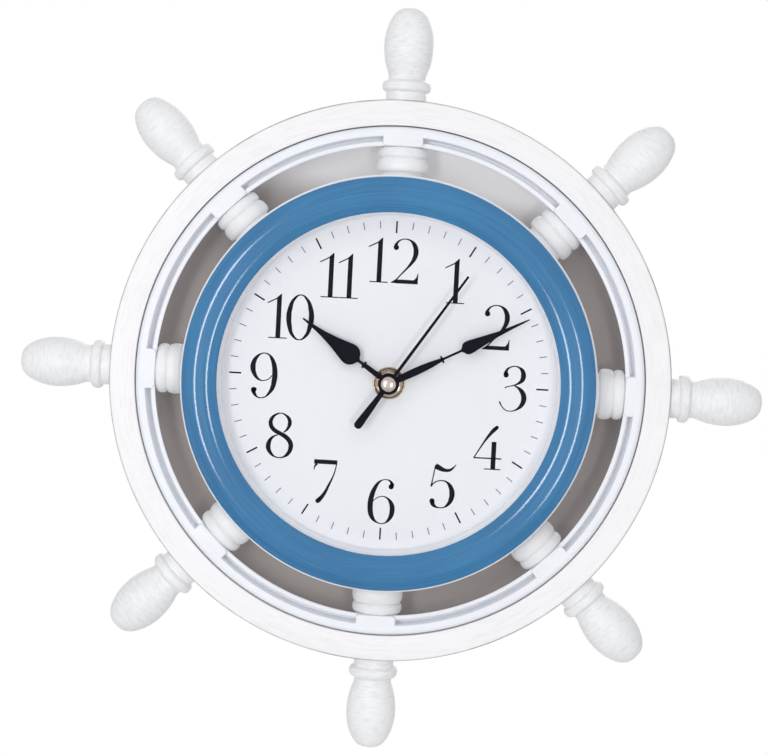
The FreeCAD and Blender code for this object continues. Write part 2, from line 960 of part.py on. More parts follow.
def makeBushAndNut():
    bush = newBody("threaded_bush")
    turned(
        bush,
        [
            (bushBoreRadius, bushFoot),
            (mm.bushFlangeRadius, bushFoot),
            (mm.bushFlangeRadius, caseCeiling),
            (mm.bushRadius, caseCeiling),
            (mm.bushRadius, bushFront),
            (bushBoreRadius, bushFront),
        ],
    )
    pieces.append(bush)

    gasket = newBody("rubber_gasket")
    padded(
        gasket, [], [(0, 0, mm.gasketRadius), (0, 0, mm.bushRadius)], caseFront, mm.gasketThickness
    )
    pieces.append(gasket)

    washer = newBody("washer")
    padded(
        washer, [], [(0, 0, mm.washerRadius), (0, 0, mm.bushRadius)], dialFront, mm.washerThickness
    )
    pieces.append(washer)

    nut = newBody("nut")
    across = mm.nutRadius
    sideways = Size(
        float(across) * math.sin(math.pi / 3), f"({across.formula} * sin(60 deg))"
    )
    half = across / 2
    hexagon = [
        (across, 0),
        (half, sideways),
        (-half, sideways),
        (-across, 0),
        (-half, -sideways),
        (half, -sideways),
    ]
    padded(nut, [hexagon], [(0, 0, mm.bushRadius)], washerFront, mm.nutThickness)
    pieces.append(nut)


# Movement case, middle plate and battery


def pivotPlaces():
    # name, place and height at which each arbor stands in the back of the case
    return [axisOf("centre"), axisOf("third"), axisOf("intermediate"), axisOf("rotor")]


def caseBlock(base, height):
    # a flat block with bevelled corners
    half = float(caseHalf)
    low = float(caseBottom)
    high = float(caseTop)
    cut = float(mm.caseCornerChamfer)
    corners = [
        (half - cut, low),
        (half, low + cut),
        (half, high - cut),
        (half - cut, high),
        (-half + cut, high),
        (-half, high - cut),
        (-half, low + cut),
        (-half + cut, low),
    ]
    points = [Vector(x, y, float(base)) for x, y in corners]
    face = Part.Face(Part.makePolygon(points + points[:1]))
    return face.extrude(Vector(0, 0, float(height)))


def makeCase():
    depth = caseJoin - caseBack
    back = caseBlock(caseBack, depth)
    cavity = slab(
        -cavityHalf, cavityBottom, caseFloor, cavityHalf * 2, cavityHeight, caseFront - caseBack
    )
    bay = slab(
        -cavityHalf,
        bayBottom,
        caseBack - mm.caseWall,
        cavityHalf * 2,
        bayHeight,
        caseFront - caseBack,
    )
    back = back.cut(cavity).cut(bay)
    for x, y in pivotPlaces():
        back = back.cut(rod(x, y, pivotFoot - mm.pivotEndGap, pivotRadius, mm.pivotDepth * 2))
    x, y = axisOf("setting")
    shaftHole = mm.settingShaftRadius + mm.runningClearance
    back = back.cut(rod(x, y, caseBack, shaftHole, mm.caseWall * 2))
    shaped("movement_back_case", back)

    front = caseBlock(caseJoin, mm.caseFrontDepth)
    cavity = slab(
        -cavityHalf,
        cavityBottom,
        caseJoin,
        cavityHalf * 2,
        cavityHeight,
        caseCeiling - caseJoin,
    )
    trough = slab(
        -cavityHalf,
        bayBottom,
        caseJoin,
        cavityHalf * 2,
        bayHeight,
        mm.caseFrontDepth - mm.batteryBayFloor,
    )
    bushHole = rod(0, 0, caseCeiling, mm.bushRadius, mm.caseWall)
    shaped("movement_front_case", front.cut(cavity).cut(trough).cut(bushHole))


def makeMiddlePlate():
    plate = slab(
        -cavityHalf,
        cavityBottom,
        middlePlateBack,
        cavityHalf * 2,
        cavityHeight,
        mm.middlePlateThickness,
    )
    for x, y in [axisOf("third"), axisOf("intermediate"), axisOf("rotor")]:
        plate = plate.cut(rod(x, y, middlePlateBack, pivotRadius, mm.middlePlateThickness))
    plate = plate.cut(rod(0, 0, middlePlateBack, hourBoreRadius, mm.middlePlateThickness))
    x, y = axisOf("setting")
    shaftHole = mm.settingShaftRadius + mm.runningClearance
    plate = plate.cut(rod(x, y, middlePlateBack, shaftHole, mm.middlePlateThickness))
    x, y = axisOf("motion")
    studTop = hourLayer + mm.motionWheelThickness + mm.motionStudEnd
    stud = rod(x, y, middlePlateFront, mm.motionStudRadius, studTop - middlePlateFront)
    shaped("middle_plate", joined([plate, stud]))


def makeBattery():
    middle = batteryMiddle
    height = caseFront - mm.batteryBayFloor - mm.batteryFit - mm.batteryRadius
    start = Vector(float(mm.contactSpringReach - cavityHalf), float(middle), float(height))
    along = Vector(1, 0, 0)
    can = Part.makeCylinder(
        float(mm.batteryRadius), float(mm.batteryLength), start, along
    )
    end = start + along * float(mm.batteryLength)
    nub = Part.makeCylinder(
        float(mm.batteryNubRadius), float(mm.batteryNubLength), end, along
    )
    shaped("battery", joined([can, nub]))

    # the plus contact is a flat strip, and the minus contact a strip with a sprung tongue
    thickness = mm.contactThickness
    width = mm.contactWidth
    low = height - width / 2
    plus = slab(
        cavityHalf - thickness, middle - width / 2, low, thickness, width, width
    )
    shaped("battery_contact_plus", plus)

    reach = mm.contactSpringReach
    strip = slab(-cavityHalf, middle - width / 2, low, thickness, width, width)
    y = float(middle - mm.contactSpringWidth / 2)
    x = -float(cavityHalf)
    z = float(height)
    rise = float(width) / 2
    outline = [
        Vector(x, y, z - rise),
        Vector(x + float(reach), y, z),
        Vector(x, y, z + rise),
        Vector(x, y, z + rise - 2 * float(thickness)),
        Vector(x + float(reach) - 2 * float(thickness), y, z),
        Vector(x, y, z - rise + 2 * float(thickness)),
    ]
    tongue = Part.Face(Part.makePolygon(outline + outline[:1])).extrude(
        Vector(0, float(mm.contactSpringWidth), 0)
    )
    shaped("battery_contact_minus", joined([strip, tongue]))


# Motor and circuit board


def makeMotor():
    rotorX, rotorY = axisOf("rotor")
    statorBack = caseFloor + mm.statorStart
    hole = mm.rotorMagnetRadius + mm.statorGap
    coilMiddle = caseFloor + mm.bobbinCheekRadius + mm.pivotEndGap
    half = statorHalf
    low = rotorY - float(mm.statorBarWidth) / 2
    coreTop = coilUp + mm.coilCoreWidth / 2
    bar = slab(-half, low, statorBack, half * 2, mm.statorBarWidth, mm.statorThickness)
    legs = [
        slab(x, low, statorBack, mm.statorLegWidth, coreTop - low, mm.statorThickness)
        for x in (-half, half - mm.statorLegWidth)
    ]
    stator = joined([bar] + legs).cut(
        rod(rotorX, rotorY, statorBack, hole, mm.statorThickness)
    )
    shaped("stator", stator)

    # the core lies under the stator legs and carries the bobbin
    coreBack = statorBack - mm.statorThickness
    core = slab(
        -half, coilUp - mm.coilCoreWidth / 2, coreBack, half * 2, mm.coilCoreWidth,
        mm.statorThickness,
    )
    shaped("coil_core", core)

    along = Vector(1, 0, 0)
    start = Vector(-float(coilLength) / 2, float(coilUp), float(coilMiddle))
    cheek = float(mm.bobbinCheekThickness)
    reach = float(coilLength) - cheek
    inner = float(mm.coilCoreWidth) / 2 + float(mm.bobbinWall)
    tube = Part.makeCylinder(inner, float(coilLength), start, along)
    cheeks = [
        Part.makeCylinder(float(mm.bobbinCheekRadius), cheek, start + along * shift, along)
        for shift in (0, reach)
    ]
    bobbin = joined([tube] + cheeks).cut(core)
    shaped("coil_bobbin", bobbin)
    winding = Part.makeCylinder(
        float(mm.coilRadius), reach - cheek, start + along * cheek, along
    )
    shaped("coil_winding", winding.cut(tube))


def makeBoard():
    back = middlePlateFront
    length = (cavityHalf - mm.boardEndGap) * 2
    top = cavityTop
    low = top - mm.boardHeight
    board = slab(-length / 2, low, back, length, mm.boardHeight, mm.boardThickness)
    shaped("circuit_board", board)
    front = back + mm.boardThickness
    middle = (top + low) / 2
    chip = slab(
        mm.chipPlace, middle - mm.chipSize / 2, front, mm.chipSize, mm.chipSize, mm.chipThickness
    )
    shaped("controller_chip", chip)
    crystal = Part.makeCylinder(
        float(mm.crystalRadius),
        float(mm.crystalLength),
        Vector(float(mm.crystalPlace), float(middle), float(front + mm.crystalRadius)),
        Vector(1, 0, 0),
    )
    shaped("quartz_crystal", crystal)


# Toothed wheels


def tooth(pitchRadius, module, wheelLike):
    # one tooth as (share of the pitch angle, radius) points round the tooth's middle
    tip = pitchRadius + float(mm.addendumShare) * module
    tipHalf = float(mm.toothTipShare) / 2
    if wheelLike:
        root = pitchRadius - float(mm.wheelRootShare) * module
        return [(-tipHalf, tip), (tipHalf, tip), (0.5, root)]
    root = pitchRadius - float(mm.pinionRootShare) * module
    landHalf = float(mm.pinionLandShare) / 2
    return [(-landHalf, root), (-tipHalf, tip), (tipHalf, tip), (landHalf, root)]


def gear(place, base, thickness, teeth, module, phase, wheelLike):
    count = int(float(teeth))
    step = 2 * math.pi / count
    module = float(module)
    points = []
    for index in range(count):
        middle = math.radians(phase) + index * step
        for share, radius in tooth(module * count / 2, module, wheelLike):
            turn = middle + share * step
            points.append(
                Vector(
                    place[0] + radius * math.cos(turn),
                    place[1] + radius * math.sin(turn),
                    float(base),
                )
            )
    face = Part.Face(Part.makePolygon(points + points[:1]))
    return face.extrude(Vector(0, 0, float(thickness)))


def meshingPhase(teeth, phase, direction, otherTeeth):
    # the phase of the wheel that stands in this direction, so that its gap meets a tooth
    count = float(teeth)
    offset = ((direction - phase) * count / 360) % 1
    return direction + 180 - (0.5 - offset) * 360 / float(otherTeeth)


def direction(start, end):
    return math.degrees(math.atan2(end[1] - start[1], end[0] - start[0]))


def makeTrain():
    centre = axisOf("centre")
    third = axisOf("third")
    intermediate = axisOf("intermediate")
    rotor = axisOf("rotor")
    thin = mm.wheelThickness
    plateTop = middlePlateFront

    # centre wheel, which drives the minute hand, and the cannon tube that carries both
    wheel = gear(centre, centreLayer, thin, mm.centreWheelTeeth, mm.centreModule, 0, True)
    wheel = wheel.cut(rod(0, 0, centreLayer, minuteTubeRadius, thin))
    shaped("centre_wheel", wheel)
    tubeLength = minuteTubeFront - centreLayer
    tube = rod(0, 0, centreLayer, minuteTubeRadius, tubeLength)
    pinion = gear(
        centre,
        motionLayer,
        mm.motionWheelThickness,
        mm.cannonPinionTeeth,
        mm.motionModule,
        0,
        False,
    )
    bore = rod(0, 0, centreLayer, minuteBoreRadius, tubeLength)
    shaped("cannon_tube", joined([tube, pinion]).cut(bore))

    # third wheel and pinion on their arbor
    phase = meshingPhase(mm.centreWheelTeeth, 0, direction(centre, third), mm.thirdPinionTeeth)
    pinion = gear(
        third, centreLayer, thin, mm.thirdPinionTeeth, mm.centreModule, phase, False
    )
    wheel = gear(third, thirdLayer, thin, mm.thirdWheelTeeth, mm.thirdModule, 0, True)
    hub = rod(*third, thirdLayer, mm.arborRadius * 2, centreLayer - thirdLayer)
    arbor = rod(*third, pivotFoot, mm.arborRadius, plateTop - pivotFoot)
    shaped("third_wheel", joined([wheel, pinion, hub, arbor]))

    # second wheel and pinion, pressed on the arbor of the second hand
    phase = meshingPhase(mm.thirdWheelTeeth, 0, direction(third, centre), mm.secondPinionTeeth)
    pinion = gear(
        centre, thirdLayer, thin, mm.secondPinionTeeth, mm.thirdModule, phase, False
    )
    wheel = gear(centre, secondLayer, thin, mm.secondWheelTeeth, mm.secondModule, 0, True)
    hub = rod(0, 0, secondLayer, mm.arborRadius * 2, thirdLayer - secondLayer)
    hole = rod(0, 0, pivotFoot, mm.arborRadius, secondArborFront - pivotFoot)
    shaped("second_wheel", joined([wheel, pinion, hub]).cut(hole))
    shaped("second_arbor", hole)

    # intermediate wheel between the rotor and the second wheel
    phase = meshingPhase(
        mm.secondWheelTeeth, 0, direction(centre, intermediate), mm.intermediatePinionTeeth
    )
    pinion = gear(
        intermediate,
        secondLayer,
        thin,
        mm.intermediatePinionTeeth,
        mm.secondModule,
        phase,
        False,
    )
    wheel = gear(
        intermediate, rotorLayer, thin, mm.intermediateWheelTeeth, mm.rotorModule, 0, True
    )
    hub = rod(*intermediate, rotorLayer, mm.arborRadius * 2, secondLayer - rotorLayer)
    arbor = rod(*intermediate, pivotFoot, mm.arborRadius, plateTop - pivotFoot)
    shaped("intermediate_wheel", joined([wheel, pinion, hub, arbor]))

    # rotor: a magnet round a pinion and its arbor
    phase = meshingPhase(
        mm.intermediateWheelTeeth, 0, direction(intermediate, rotor), mm.rotorPinionTeeth
    )
    pinion = gear(
        rotor, rotorLayer, thin, mm.rotorPinionTeeth, mm.rotorModule, phase, False
    )
    arbor = rod(*rotor, pivotFoot, mm.arborRadius, plateTop - pivotFoot)
    shaped("rotor_pinion", joined([pinion, arbor]))
    magnetBack = caseFloor + mm.rotorMagnetStart
    magnet = pipe(
        *rotor, magnetBack, mm.rotorMagnetRadius, mm.arborRadius, mm.rotorMagnetThickness
    )
    shaped("rotor_magnet", magnet)


def makeMotionWork():
    centre = axisOf("centre")
    motion = axisOf("motion")
    setting = axisOf("setting")
    thick = mm.motionWheelThickness
    toMotion = direction(centre, motion)

    # motion wheel on its stud
    wheelPhase = meshingPhase(mm.cannonPinionTeeth, 0, toMotion, mm.motionWheelTeeth)
    wheel = gear(
        motion, motionLayer, thick, mm.motionWheelTeeth, mm.motionModule, wheelPhase, True
    )
    pinion = gear(motion, hourLayer, thick, mm.motionPinionTeeth, mm.motionModule, 0, False)
    hub = rod(*motion, motionLayer, mm.motionStudRadius * 2, hourLayer - motionLayer)
    bore = rod(
        *motion, motionLayer, mm.motionStudRadius + mm.runningClearance, mm.caseFrontDepth
    )
    shaped("motion_wheel", joined([wheel, pinion, hub]).cut(bore))

    # hour wheel with the tube of the hour hand
    phase = meshingPhase(mm.motionPinionTeeth, 0, toMotion + 180, mm.hourWheelTeeth)
    wheel = gear(centre, hourLayer, thick, mm.hourWheelTeeth, mm.motionModule, phase, True)
    tube = rod(0, 0, hourLayer, hourTubeRadius, hourTubeFront - hourLayer)
    bore = rod(0, 0, hourLayer, hourBoreRadius, hourTubeFront - hourLayer)
    shaped("hour_wheel", joined([wheel, tube]).cut(bore))

    # setting shaft, whose pinion meshes with the motion wheel, and its knob behind the case
    phase = meshingPhase(
        mm.motionWheelTeeth, wheelPhase, direction(motion, setting), mm.settingPinionTeeth
    )
    pinion = gear(
        setting, motionLayer, thick, mm.settingPinionTeeth, mm.motionModule, phase, False
    )
    shaft = rod(*setting, knobBack, mm.settingShaftRadius, motionLayer + thick - knobBack)
    shaped("setting_shaft", joined([shaft, pinion]))
    knob = pipe(
        *setting, knobBack, mm.knobRadius, mm.settingShaftRadius, mm.knobThickness
    )
    shaped("setting_knob", knob)


# Hands, drawn pointing at twelve o'clock and turned to their hour

# Half widths and heights over the centre as shares of the hand's length, with a third share for the
# radius where an arc leads to the point
hourHandShares = [
    (0.028, 0.04),
    (0.016, 0.29),
    (0.034, 0.292),
    (0.034, 0.308),
    (0.011, 0.31),
    (0.011, 0.37),
    (0.104, 0.475, 0.115),
    (0.03, 0.74, 0.5),
    (0.01, 0.88),
    (0.004, 1),
]
minuteHandShares = [
    (0.01, 0.03),
    (0.022, 0.16, 0.5),
    (0.01, 0.385, 1.2),
    (0.02, 0.387),
    (0.02, 0.397),
    (0.008, 0.4),
    (0.008, 0.52),
    (0.048, 0.576, 0.055),
    (0.018, 0.73, 0.4),
    (0.009, 0.84),
    (0.003, 1),
]
# for the second hand the tail has shares of its own length
secondBladeShares = [(0.006, 1), (-0.006, 1), (-0.0095, 0)]
secondTailShares = [(-0.062, -0.94), (0.062, -0.94, 0.07)]


def scaledBy(length, shares):
    return [tuple(length * share for share in point) for point in shares]


def mirroredOutline(rightSide):
    # the right half from the tail up to the tip, then the same points down the left
    leftSide = []
    for index in range(len(rightSide) - 1, -1, -1):
        point = rightSide[index]
        follower = rightSide[index + 1] if index + 1 < len(rightSide) else ()
        corner = (-point[0], point[1])
        leftSide.append(corner + (follower[2],) if len(follower) == 3 else corner)
    return rightSide + leftSide


def makeHand(label, angle, outline, back, thickness, hubRadius, hubHeight, boreRadius):
    # a flat blade on a hub, pressed on its tube or arbor
    hand = newBody(label, -float(angle))
    padded(hand, [outline], [], back, thickness)
    barrel(hand, "Additive", 0, 0, back, hubRadius, hubHeight)
    barrel(hand, "Subtractive", 0, 0, back - hubHeight, boreRadius, hubHeight * 3)
    pieces.append(hand)


def makeHourHand():
    makeHand(
        "hour_hand",
        mm.hourHandAngle,
        mirroredOutline(scaledBy(hourHandLength, hourHandShares)),
        hourHandBack,
        mm.handThickness,
        hourTubeRadius + mm.hourHubWall,
        mm.hubHeight,
        hourTubeRadius,
    )


def makeMinuteHand():
    makeHand(
        "minute_hand",
        mm.minuteHandAngle,
        mirroredOutline(scaledBy(minuteHandLength, minuteHandShares)),
        minuteHandBack,
        mm.handThickness,
        minuteTubeRadius + mm.minuteHubWall,
        mm.hubHeight,
        minuteTubeRadius,
    )


def makeSecondHand():
    blade = scaledBy(secondHandLength, secondBladeShares)
    makeHand(
        "second_hand",
        mm.secondHandAngle,
        blade[-1:] + scaledBy(secondHandTail, secondTailShares) + [(-blade[-1][0], 0)] + blade[:-1],
        secondHandBack,
        mm.secondHandThickness,
        mm.arborRadius + mm.secondHubWall,
        mm.secondHubHeight,
        mm.arborRadius,
    )

    cap = newBody("second_hand_cap")
    base = secondArborFront
    top = base + mm.capHeight
    turned(
        cap,
        [
            (0, base),
            (mm.capRadius, base),
            (mm.capRadius, base + mm.capHeight / 2),
            (mm.capCrownRadius, top),
            (0, top),
        ],
    )
    pieces.append(cap)


# The centre wheel runs on the same centre distance as the third wheel, which gives its module
mm.centreModule = (
    mm.thirdModule
    * (mm.secondPinionTeeth + mm.thirdWheelTeeth)
    / (mm.thirdPinionTeeth + mm.centreWheelTeeth)
)

makeOuterBand()
makeInnerRing()
makeSpokes()
makeHandles()
makeHousing()
makeHanger()
makeDialAndRing()
makeGlassAndBezel()
makeBushAndNut()
makeCase()
makeMiddlePlate()
makeBattery()
makeMotor()
makeBoard()
makeTrain()
makeMotionWork()
makeHourHand()
makeMinuteHand()
makeSecondHand()
doc.recompute()

# Every object is checked before anything is written

for thing in doc.Objects:
    for state in ("Invalid", "Error"):
        if state in thing.State:
            raise RuntimeError(f"{thing.Label} is {thing.State}")
for piece in pieces:
    if piece.Shape.isNull() or not piece.Shape.isValid() or not piece.Shape.Solids:
        raise RuntimeError(f"{piece.Label} has no sound shape")
for piece in pieces:
    piece.Shape.exportStep(f"parts/{piece.Label}.step")
    print(f"{piece.Label}: {len(piece.Shape.Solids)} solids, {piece.Shape.Volume:.1f} mm3")
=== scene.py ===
import math

import bmesh
import bpy
from mathutils import Matrix, Vector


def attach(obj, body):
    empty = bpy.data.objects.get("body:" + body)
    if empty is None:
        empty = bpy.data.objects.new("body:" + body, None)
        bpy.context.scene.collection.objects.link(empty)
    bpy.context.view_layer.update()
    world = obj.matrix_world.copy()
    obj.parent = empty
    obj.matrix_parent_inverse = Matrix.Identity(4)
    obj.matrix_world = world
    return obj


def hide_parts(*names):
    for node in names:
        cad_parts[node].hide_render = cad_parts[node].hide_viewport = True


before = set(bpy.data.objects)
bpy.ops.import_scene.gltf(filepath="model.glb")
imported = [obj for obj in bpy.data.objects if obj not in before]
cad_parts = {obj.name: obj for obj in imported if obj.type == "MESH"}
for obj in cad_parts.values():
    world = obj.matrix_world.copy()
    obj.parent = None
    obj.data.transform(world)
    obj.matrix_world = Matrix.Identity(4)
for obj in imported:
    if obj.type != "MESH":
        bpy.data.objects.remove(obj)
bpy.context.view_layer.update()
print("frame loaded:", len(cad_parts), "nodes")

# The pieces are drawn in millimetres as on a bench: x to the right, y towards twelve o'clock, z out of
# the wall, with the dial's axis at x = y = 0. One matrix hangs them up in the frame of the CAD.
dialHeight = -0.0854
millimetre = 0.001
benchToWall = (
    Matrix.Translation((0, 0, dialHeight))
    @ Matrix.Rotation(math.radians(90), 4, "X")
    @ Matrix.Scale(millimetre, 4)
)
fullTurn = math.tau
dialAxis = (0, 0, 1)
spindleAxis = (1, 0, 0)
scene = bpy.context.scene


# Shader maths

class Level:
    # a socket that can be used in Python sums
    def __init__(self, tree, socket):
        self.tree = tree
        self.socket = socket

    def sum(self, operation, *values):
        node = self.tree.nodes.new("ShaderNodeMath")
        node.operation = operation
        for place, value in enumerate((self, *values)):
            if isinstance(value, Level):
                self.tree.links.new(value.socket, node.inputs[place])
            else:
                node.inputs[place].default_value = value
        return Level(self.tree, node.outputs[0])

    def __add__(self, other):
        return self.sum("ADD", other)

    def __mul__(self, other):
        return self.sum("MULTIPLY", other)

    def __rsub__(self, other):
        return self.sum("MULTIPLY_ADD", -1.0, other)

    def __pow__(self, other):
        return self.sum("POWER", other)

    __radd__ = __add__
    __rmul__ = __mul__


class Wiring:
    # the nodes of a material or of the world
    def __init__(self, tree):
        self.tree = tree

    def fill(self, node, **sockets):
        # values or links for sockets, each by its name with _ for a space, or as s0, s1 by its number
        for name, value in sockets.items():
            numbered = name[0] == "s" and name[1:].isdigit()
            socket = node.inputs[int(name[1:]) if numbered else name.replace("_", " ")]
            if isinstance(value, Level):
                self.tree.links.new(value.socket, socket)
            else:
                socket.default_value = value

    def node(self, kind, settings=None, output=0, **sockets):
        # one new node: its settings first, then its sockets
        node = self.tree.nodes.new("ShaderNode" + kind)
        for name, value in (settings or {}).items():
            setattr(node, name, value)
        self.fill(node, **sockets)
        return Level(self.tree, node.outputs[output])

    def surface(self, outputName, mask, first, second):
        # the last mix of two shaders, in front of the output
        mixed = self.node("MixShader", s0=mask, s1=first, s2=second)
        self.fill(self.tree.nodes[outputName], Surface=mixed)


class Finish(Wiring):
    # one material with its Principled shader
    def __init__(self, name, **constants):
        self.material = bpy.data.materials.new(name)
        self.material.use_nodes = True
        super().__init__(self.material.node_tree)
        self.shader = self.tree.nodes["Principled BSDF"]
        self.vary(**constants)

    def vary(self, **sockets):
        self.fill(self.shader, **sockets)

    def noise(self, source, scale, detail, roughness):
        # a pattern that lies on the object, or on the piece's own turning attribute
        if source == "object":
            where = self.node("TexCoord", output="Object")
        else:
            where = self.node("Attribute", {"attribute_name": source}, output="Vector")
        where = self.node("Mapping", Vector=where, Scale=scale)
        return self.node("TexNoise", output="Fac", Vector=where, Scale=1.0, Detail=detail,
                         Roughness=roughness)

    def rise(self, level, low, high, curve="LINEAR"):
        # 0 up to the low level, 1 from the high one
        return self.node("MapRange", {"interpolation_type": curve}, Value=level, From_Min=low,
                         From_Max=high)

    def blend(self, mask, first, second):
        # colour mix
        return self.node("Mix", {"data_type": "RGBA"}, output=2, s0=mask, s6=first, s7=second)

    def bump(self, height, strength, distance):
        self.vary(Normal=self.node("Bump", output="Normal", Height=height, Strength=strength,
                                   Distance=distance))


def colour(tone):
    # a colour given as the eye sees it, 0 to 255
    def linear(part):
        part /= 255
        return part / 12.92 if part <= 0.04045 else ((part + 0.055) / 1.055) ** 2.4
    return (*(linear(part) for part in tone), 1)


def darker(tone, drop):
    return [max(part - drop, 0) for part in tone]


# Helpers for the shapes

def roundOff(shape, geometry, rounding, segments, affect="EDGES"):
    bmesh.ops.bevel(shape, geom=geometry, offset=rounding, offset_type="OFFSET", segments=segments,
                    profile=0.5, affect=affect, material=-1)


def thicken(shape, height):
    # makes a flat shape thicker towards the front and gives back its upper vertices
    raised = bmesh.ops.extrude_face_region(shape, geom=shape.faces[:])
    top = [item for item in raised["geom"] if isinstance(item, bmesh.types.BMVert)]
    bmesh.ops.translate(shape, verts=top, vec=(0, 0, height))
    return top


def swing(shape, vertices, angle):
    # turns anticlockwise about the dial's axis
    bmesh.ops.rotate(shape, verts=vertices, cent=(0, 0, 0), matrix=Matrix.Rotation(angle, 3, "Z"))


def join(shape, part):
    # puts a part into a shape and uses it up
    carrier = bpy.data.meshes.new("carrier")
    part.to_mesh(carrier)
    part.free()
    shape.from_mesh(carrier)
    bpy.data.meshes.remove(carrier)


ringSteps = 192
spindleSteps = 64
weldDistance = 0.0004
sharpFrom = math.radians(38)
# The attribute turning holds the pattern's own place: round a circle of this radius, and outwards or along
ringCircle = 0.1
spindleCircle = 0.01
patternStep = 0.05  # from one copy of a shape to the next
leastRadius = 0.01  # stands in for the middle's radius of nothing


def roundedWire(shape, points, closed):
    # a wire through (along, across, rounding), its corners rounded
    corners = [shape.verts.new((along, 0, across)) for along, across, _ in points]
    pairs = list(zip(corners, corners[1:] + corners[:1]))
    for start, end in pairs if closed else pairs[:-1]:
        shape.edges.new((start, end))
    for corner, (_, _, rounding) in zip(corners, points):
        if rounding:
            segments = max(6, round(rounding * 4))  # four to the millimetre, and six at the least
            roundOff(shape, [corner], rounding, segments, "VERTICES")
    return shape.verts[:] + shape.edges[:]


def turnRound(points, axis, steps, closed=True):
    # a closed wire makes a ring, an open one ends on the axis
    shape = bmesh.new()
    bmesh.ops.spin(shape, geom=roundedWire(shape, points, closed), cent=(0, 0, 0), axis=axis,
                   angle=fullTurn, steps=steps, use_merge=True, use_duplicate=False)
    bmesh.ops.remove_doubles(shape, verts=shape.verts, dist=weldDistance)
    return shape


def markRound(shape):
    # the pattern's place on a ring: round the dial, and outwards
    layers = shape.verts.layers.float_vector
    lay = layers.get("turning") or layers.new("turning")
    for vertex in shape.verts:
        radius = max(math.hypot(vertex.co.x, vertex.co.y), leastRadius)
        vertex[lay] = (vertex.co.x / radius * ringCircle, vertex.co.y / radius * ringCircle,
                       (radius + vertex.co.z) * millimetre)


def ringShape(points, steps=ringSteps):
    # turned round the dial's axis: points are (radius, height over the wall, rounding)
    shape = turnRound(points, dialAxis, steps)
    markRound(shape)
    return shape


def spindleShape(points):
    # turned round its own axis along x: points are (distance along, radius, rounding)
    shape = turnRound(points, spindleAxis, spindleSteps, closed=False)
    lay = shape.verts.layers.float_vector.new("turning")
    for vertex in shape.verts:
        radius = max(math.hypot(vertex.co.y, vertex.co.z), leastRadius)
        vertex[lay] = (vertex.co.x * millimetre, vertex.co.y / radius * spindleCircle,
                       vertex.co.z / radius * spindleCircle)
    return shape


def arrayed(pattern, height=0.0):
    # copies of a shape round the dial, each with its own stretch of pattern
    whole = bmesh.new()
    for index in range(wheel["spokeCount"]):
        one = pattern.copy()
        bmesh.ops.translate(one, verts=one.verts, vec=(0, 0, height))
        swing(one, one.verts, fullTurn * index / wheel["spokeCount"])
        lay = one.verts.layers.float_vector["turning"]
        for vertex in one.verts:
            vertex[lay] = vertex[lay] + Vector((0, patternStep * index, 0))
        join(whole, one)
    pattern.free()
    return whole


def toObject(name, shape, material):
    # the shape as an object of the scene, and the shape is used up
    data = bpy.data.meshes.new(name)
    shape.to_mesh(data)
    shape.free()
    data.materials.append(material)
    made = bpy.data.objects.new(name, data)
    scene.collection.objects.link(made)
    return made


def hang(name, shape, finish, node=None, body="root", flat=False):
    # turns the faces outwards, or to the front on a flat print, hangs the piece up in the frame and
    # lets it ride on its body
    if flat:
        shape.normal_update()
        bmesh.ops.reverse_faces(shape, faces=[face for face in shape.faces if face.normal.z < 0])
    else:
        bmesh.ops.recalc_face_normals(shape, faces=shape.faces)
    bmesh.ops.transform(shape, matrix=benchToWall, verts=shape.verts)
    piece = toObject(name, shape, finish.material)
    for face in piece.data.polygons:
        face.use_smooth = True
    piece.data.set_sharp_from_angle(angle=sharpFrom)
    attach(piece, body)
    if node:
        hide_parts(node)


# Materials

lacquer = {
    "thinLevels": (0.40, 0.52),  # of the brush's pattern, from bare to full paint
    "wear": 34,  # how much darker the thin paint is, of 255
    # strength of the painted shade on the rim's front arris: everywhere, and more where the paint is thin
    "edgeShadeStrength": (0.62, 0.35),  # on the arris, everywhere and where it is thin
}


def lacquerFinish(name, streaks, along, tone, edgeShade=None):
    # white brushed paint: fine marks of the brush, a little thin in places, and on request a painted shade along
    # the front arris
    finish = Finish(name, Roughness=0.42, Coat_Weight=0.12, Coat_Roughness=0.3,
                    Specular_IOR_Level=0.45)
    hairs = finish.noise("turning", along, 5.0, 0.62)
    cloud = finish.noise("object", (22, 22, 22), 3.0, 0.5)
    thin = 1 - finish.rise(hairs * 0.75 + cloud * 0.25, *lacquer["thinLevels"])
    paint = finish.blend(thin * streaks, colour(tone), colour(darker(tone, lacquer["wear"])))
    if edgeShade:
        # on the front arris, between two radii and two heights, a painted shade darkens the paint to grey-brown
        spot = finish.node("TexCoord", output="Object")
        flat = finish.node("Mapping", Vector=spot, Location=(0, 0, -dialHeight), Scale=(1, 0, 1))
        reach = finish.node("VectorMath", {"operation": "LENGTH"}, "Value", Vector=flat)
        depth = finish.node("SeparateXYZ", output="Y", Vector=spot)
        past = finish.rise(reach, *(radius * millimetre for radius in edgeShade["radius"]))
        ahead = finish.rise(depth, *(-height * millimetre for height in edgeShade["height"]))
        always, more = lacquer["edgeShadeStrength"]
        paint = finish.blend(past * ahead * (always + thin * more), paint, colour(edgeShade["under"]))
    finish.vary(Base_Color=paint, Roughness=0.40 + hairs * 0.18)
    finish.bump(hairs, 0.35 * min(1, streaks + 0.15), 0.0002)
    return finish


def bezelFinish(deep, light):
    # blue paint with fine marks round the ring, under a clear coat
    finish = Finish("blue bezel paint", Roughness=0.34, Coat_Weight=1.0, Coat_Roughness=0.13,
                    Coat_IOR=1.6, Specular_IOR_Level=0.1)
    hairs = finish.noise("turning", (26, 26, 1500), 4.0, 0.6)
    cloud = finish.noise("object", (14, 14, 14), 2.0, 0.5)
    mask = finish.rise(hairs * 0.6 + cloud * 0.4, 0.36, 0.66)
    paint = finish.blend(mask, colour(deep), colour(light))
    finish.vary(Base_Color=paint, Roughness=0.28 + hairs * 0.14)
    finish.bump(hairs, 0.2, 0.0002)
    return finish


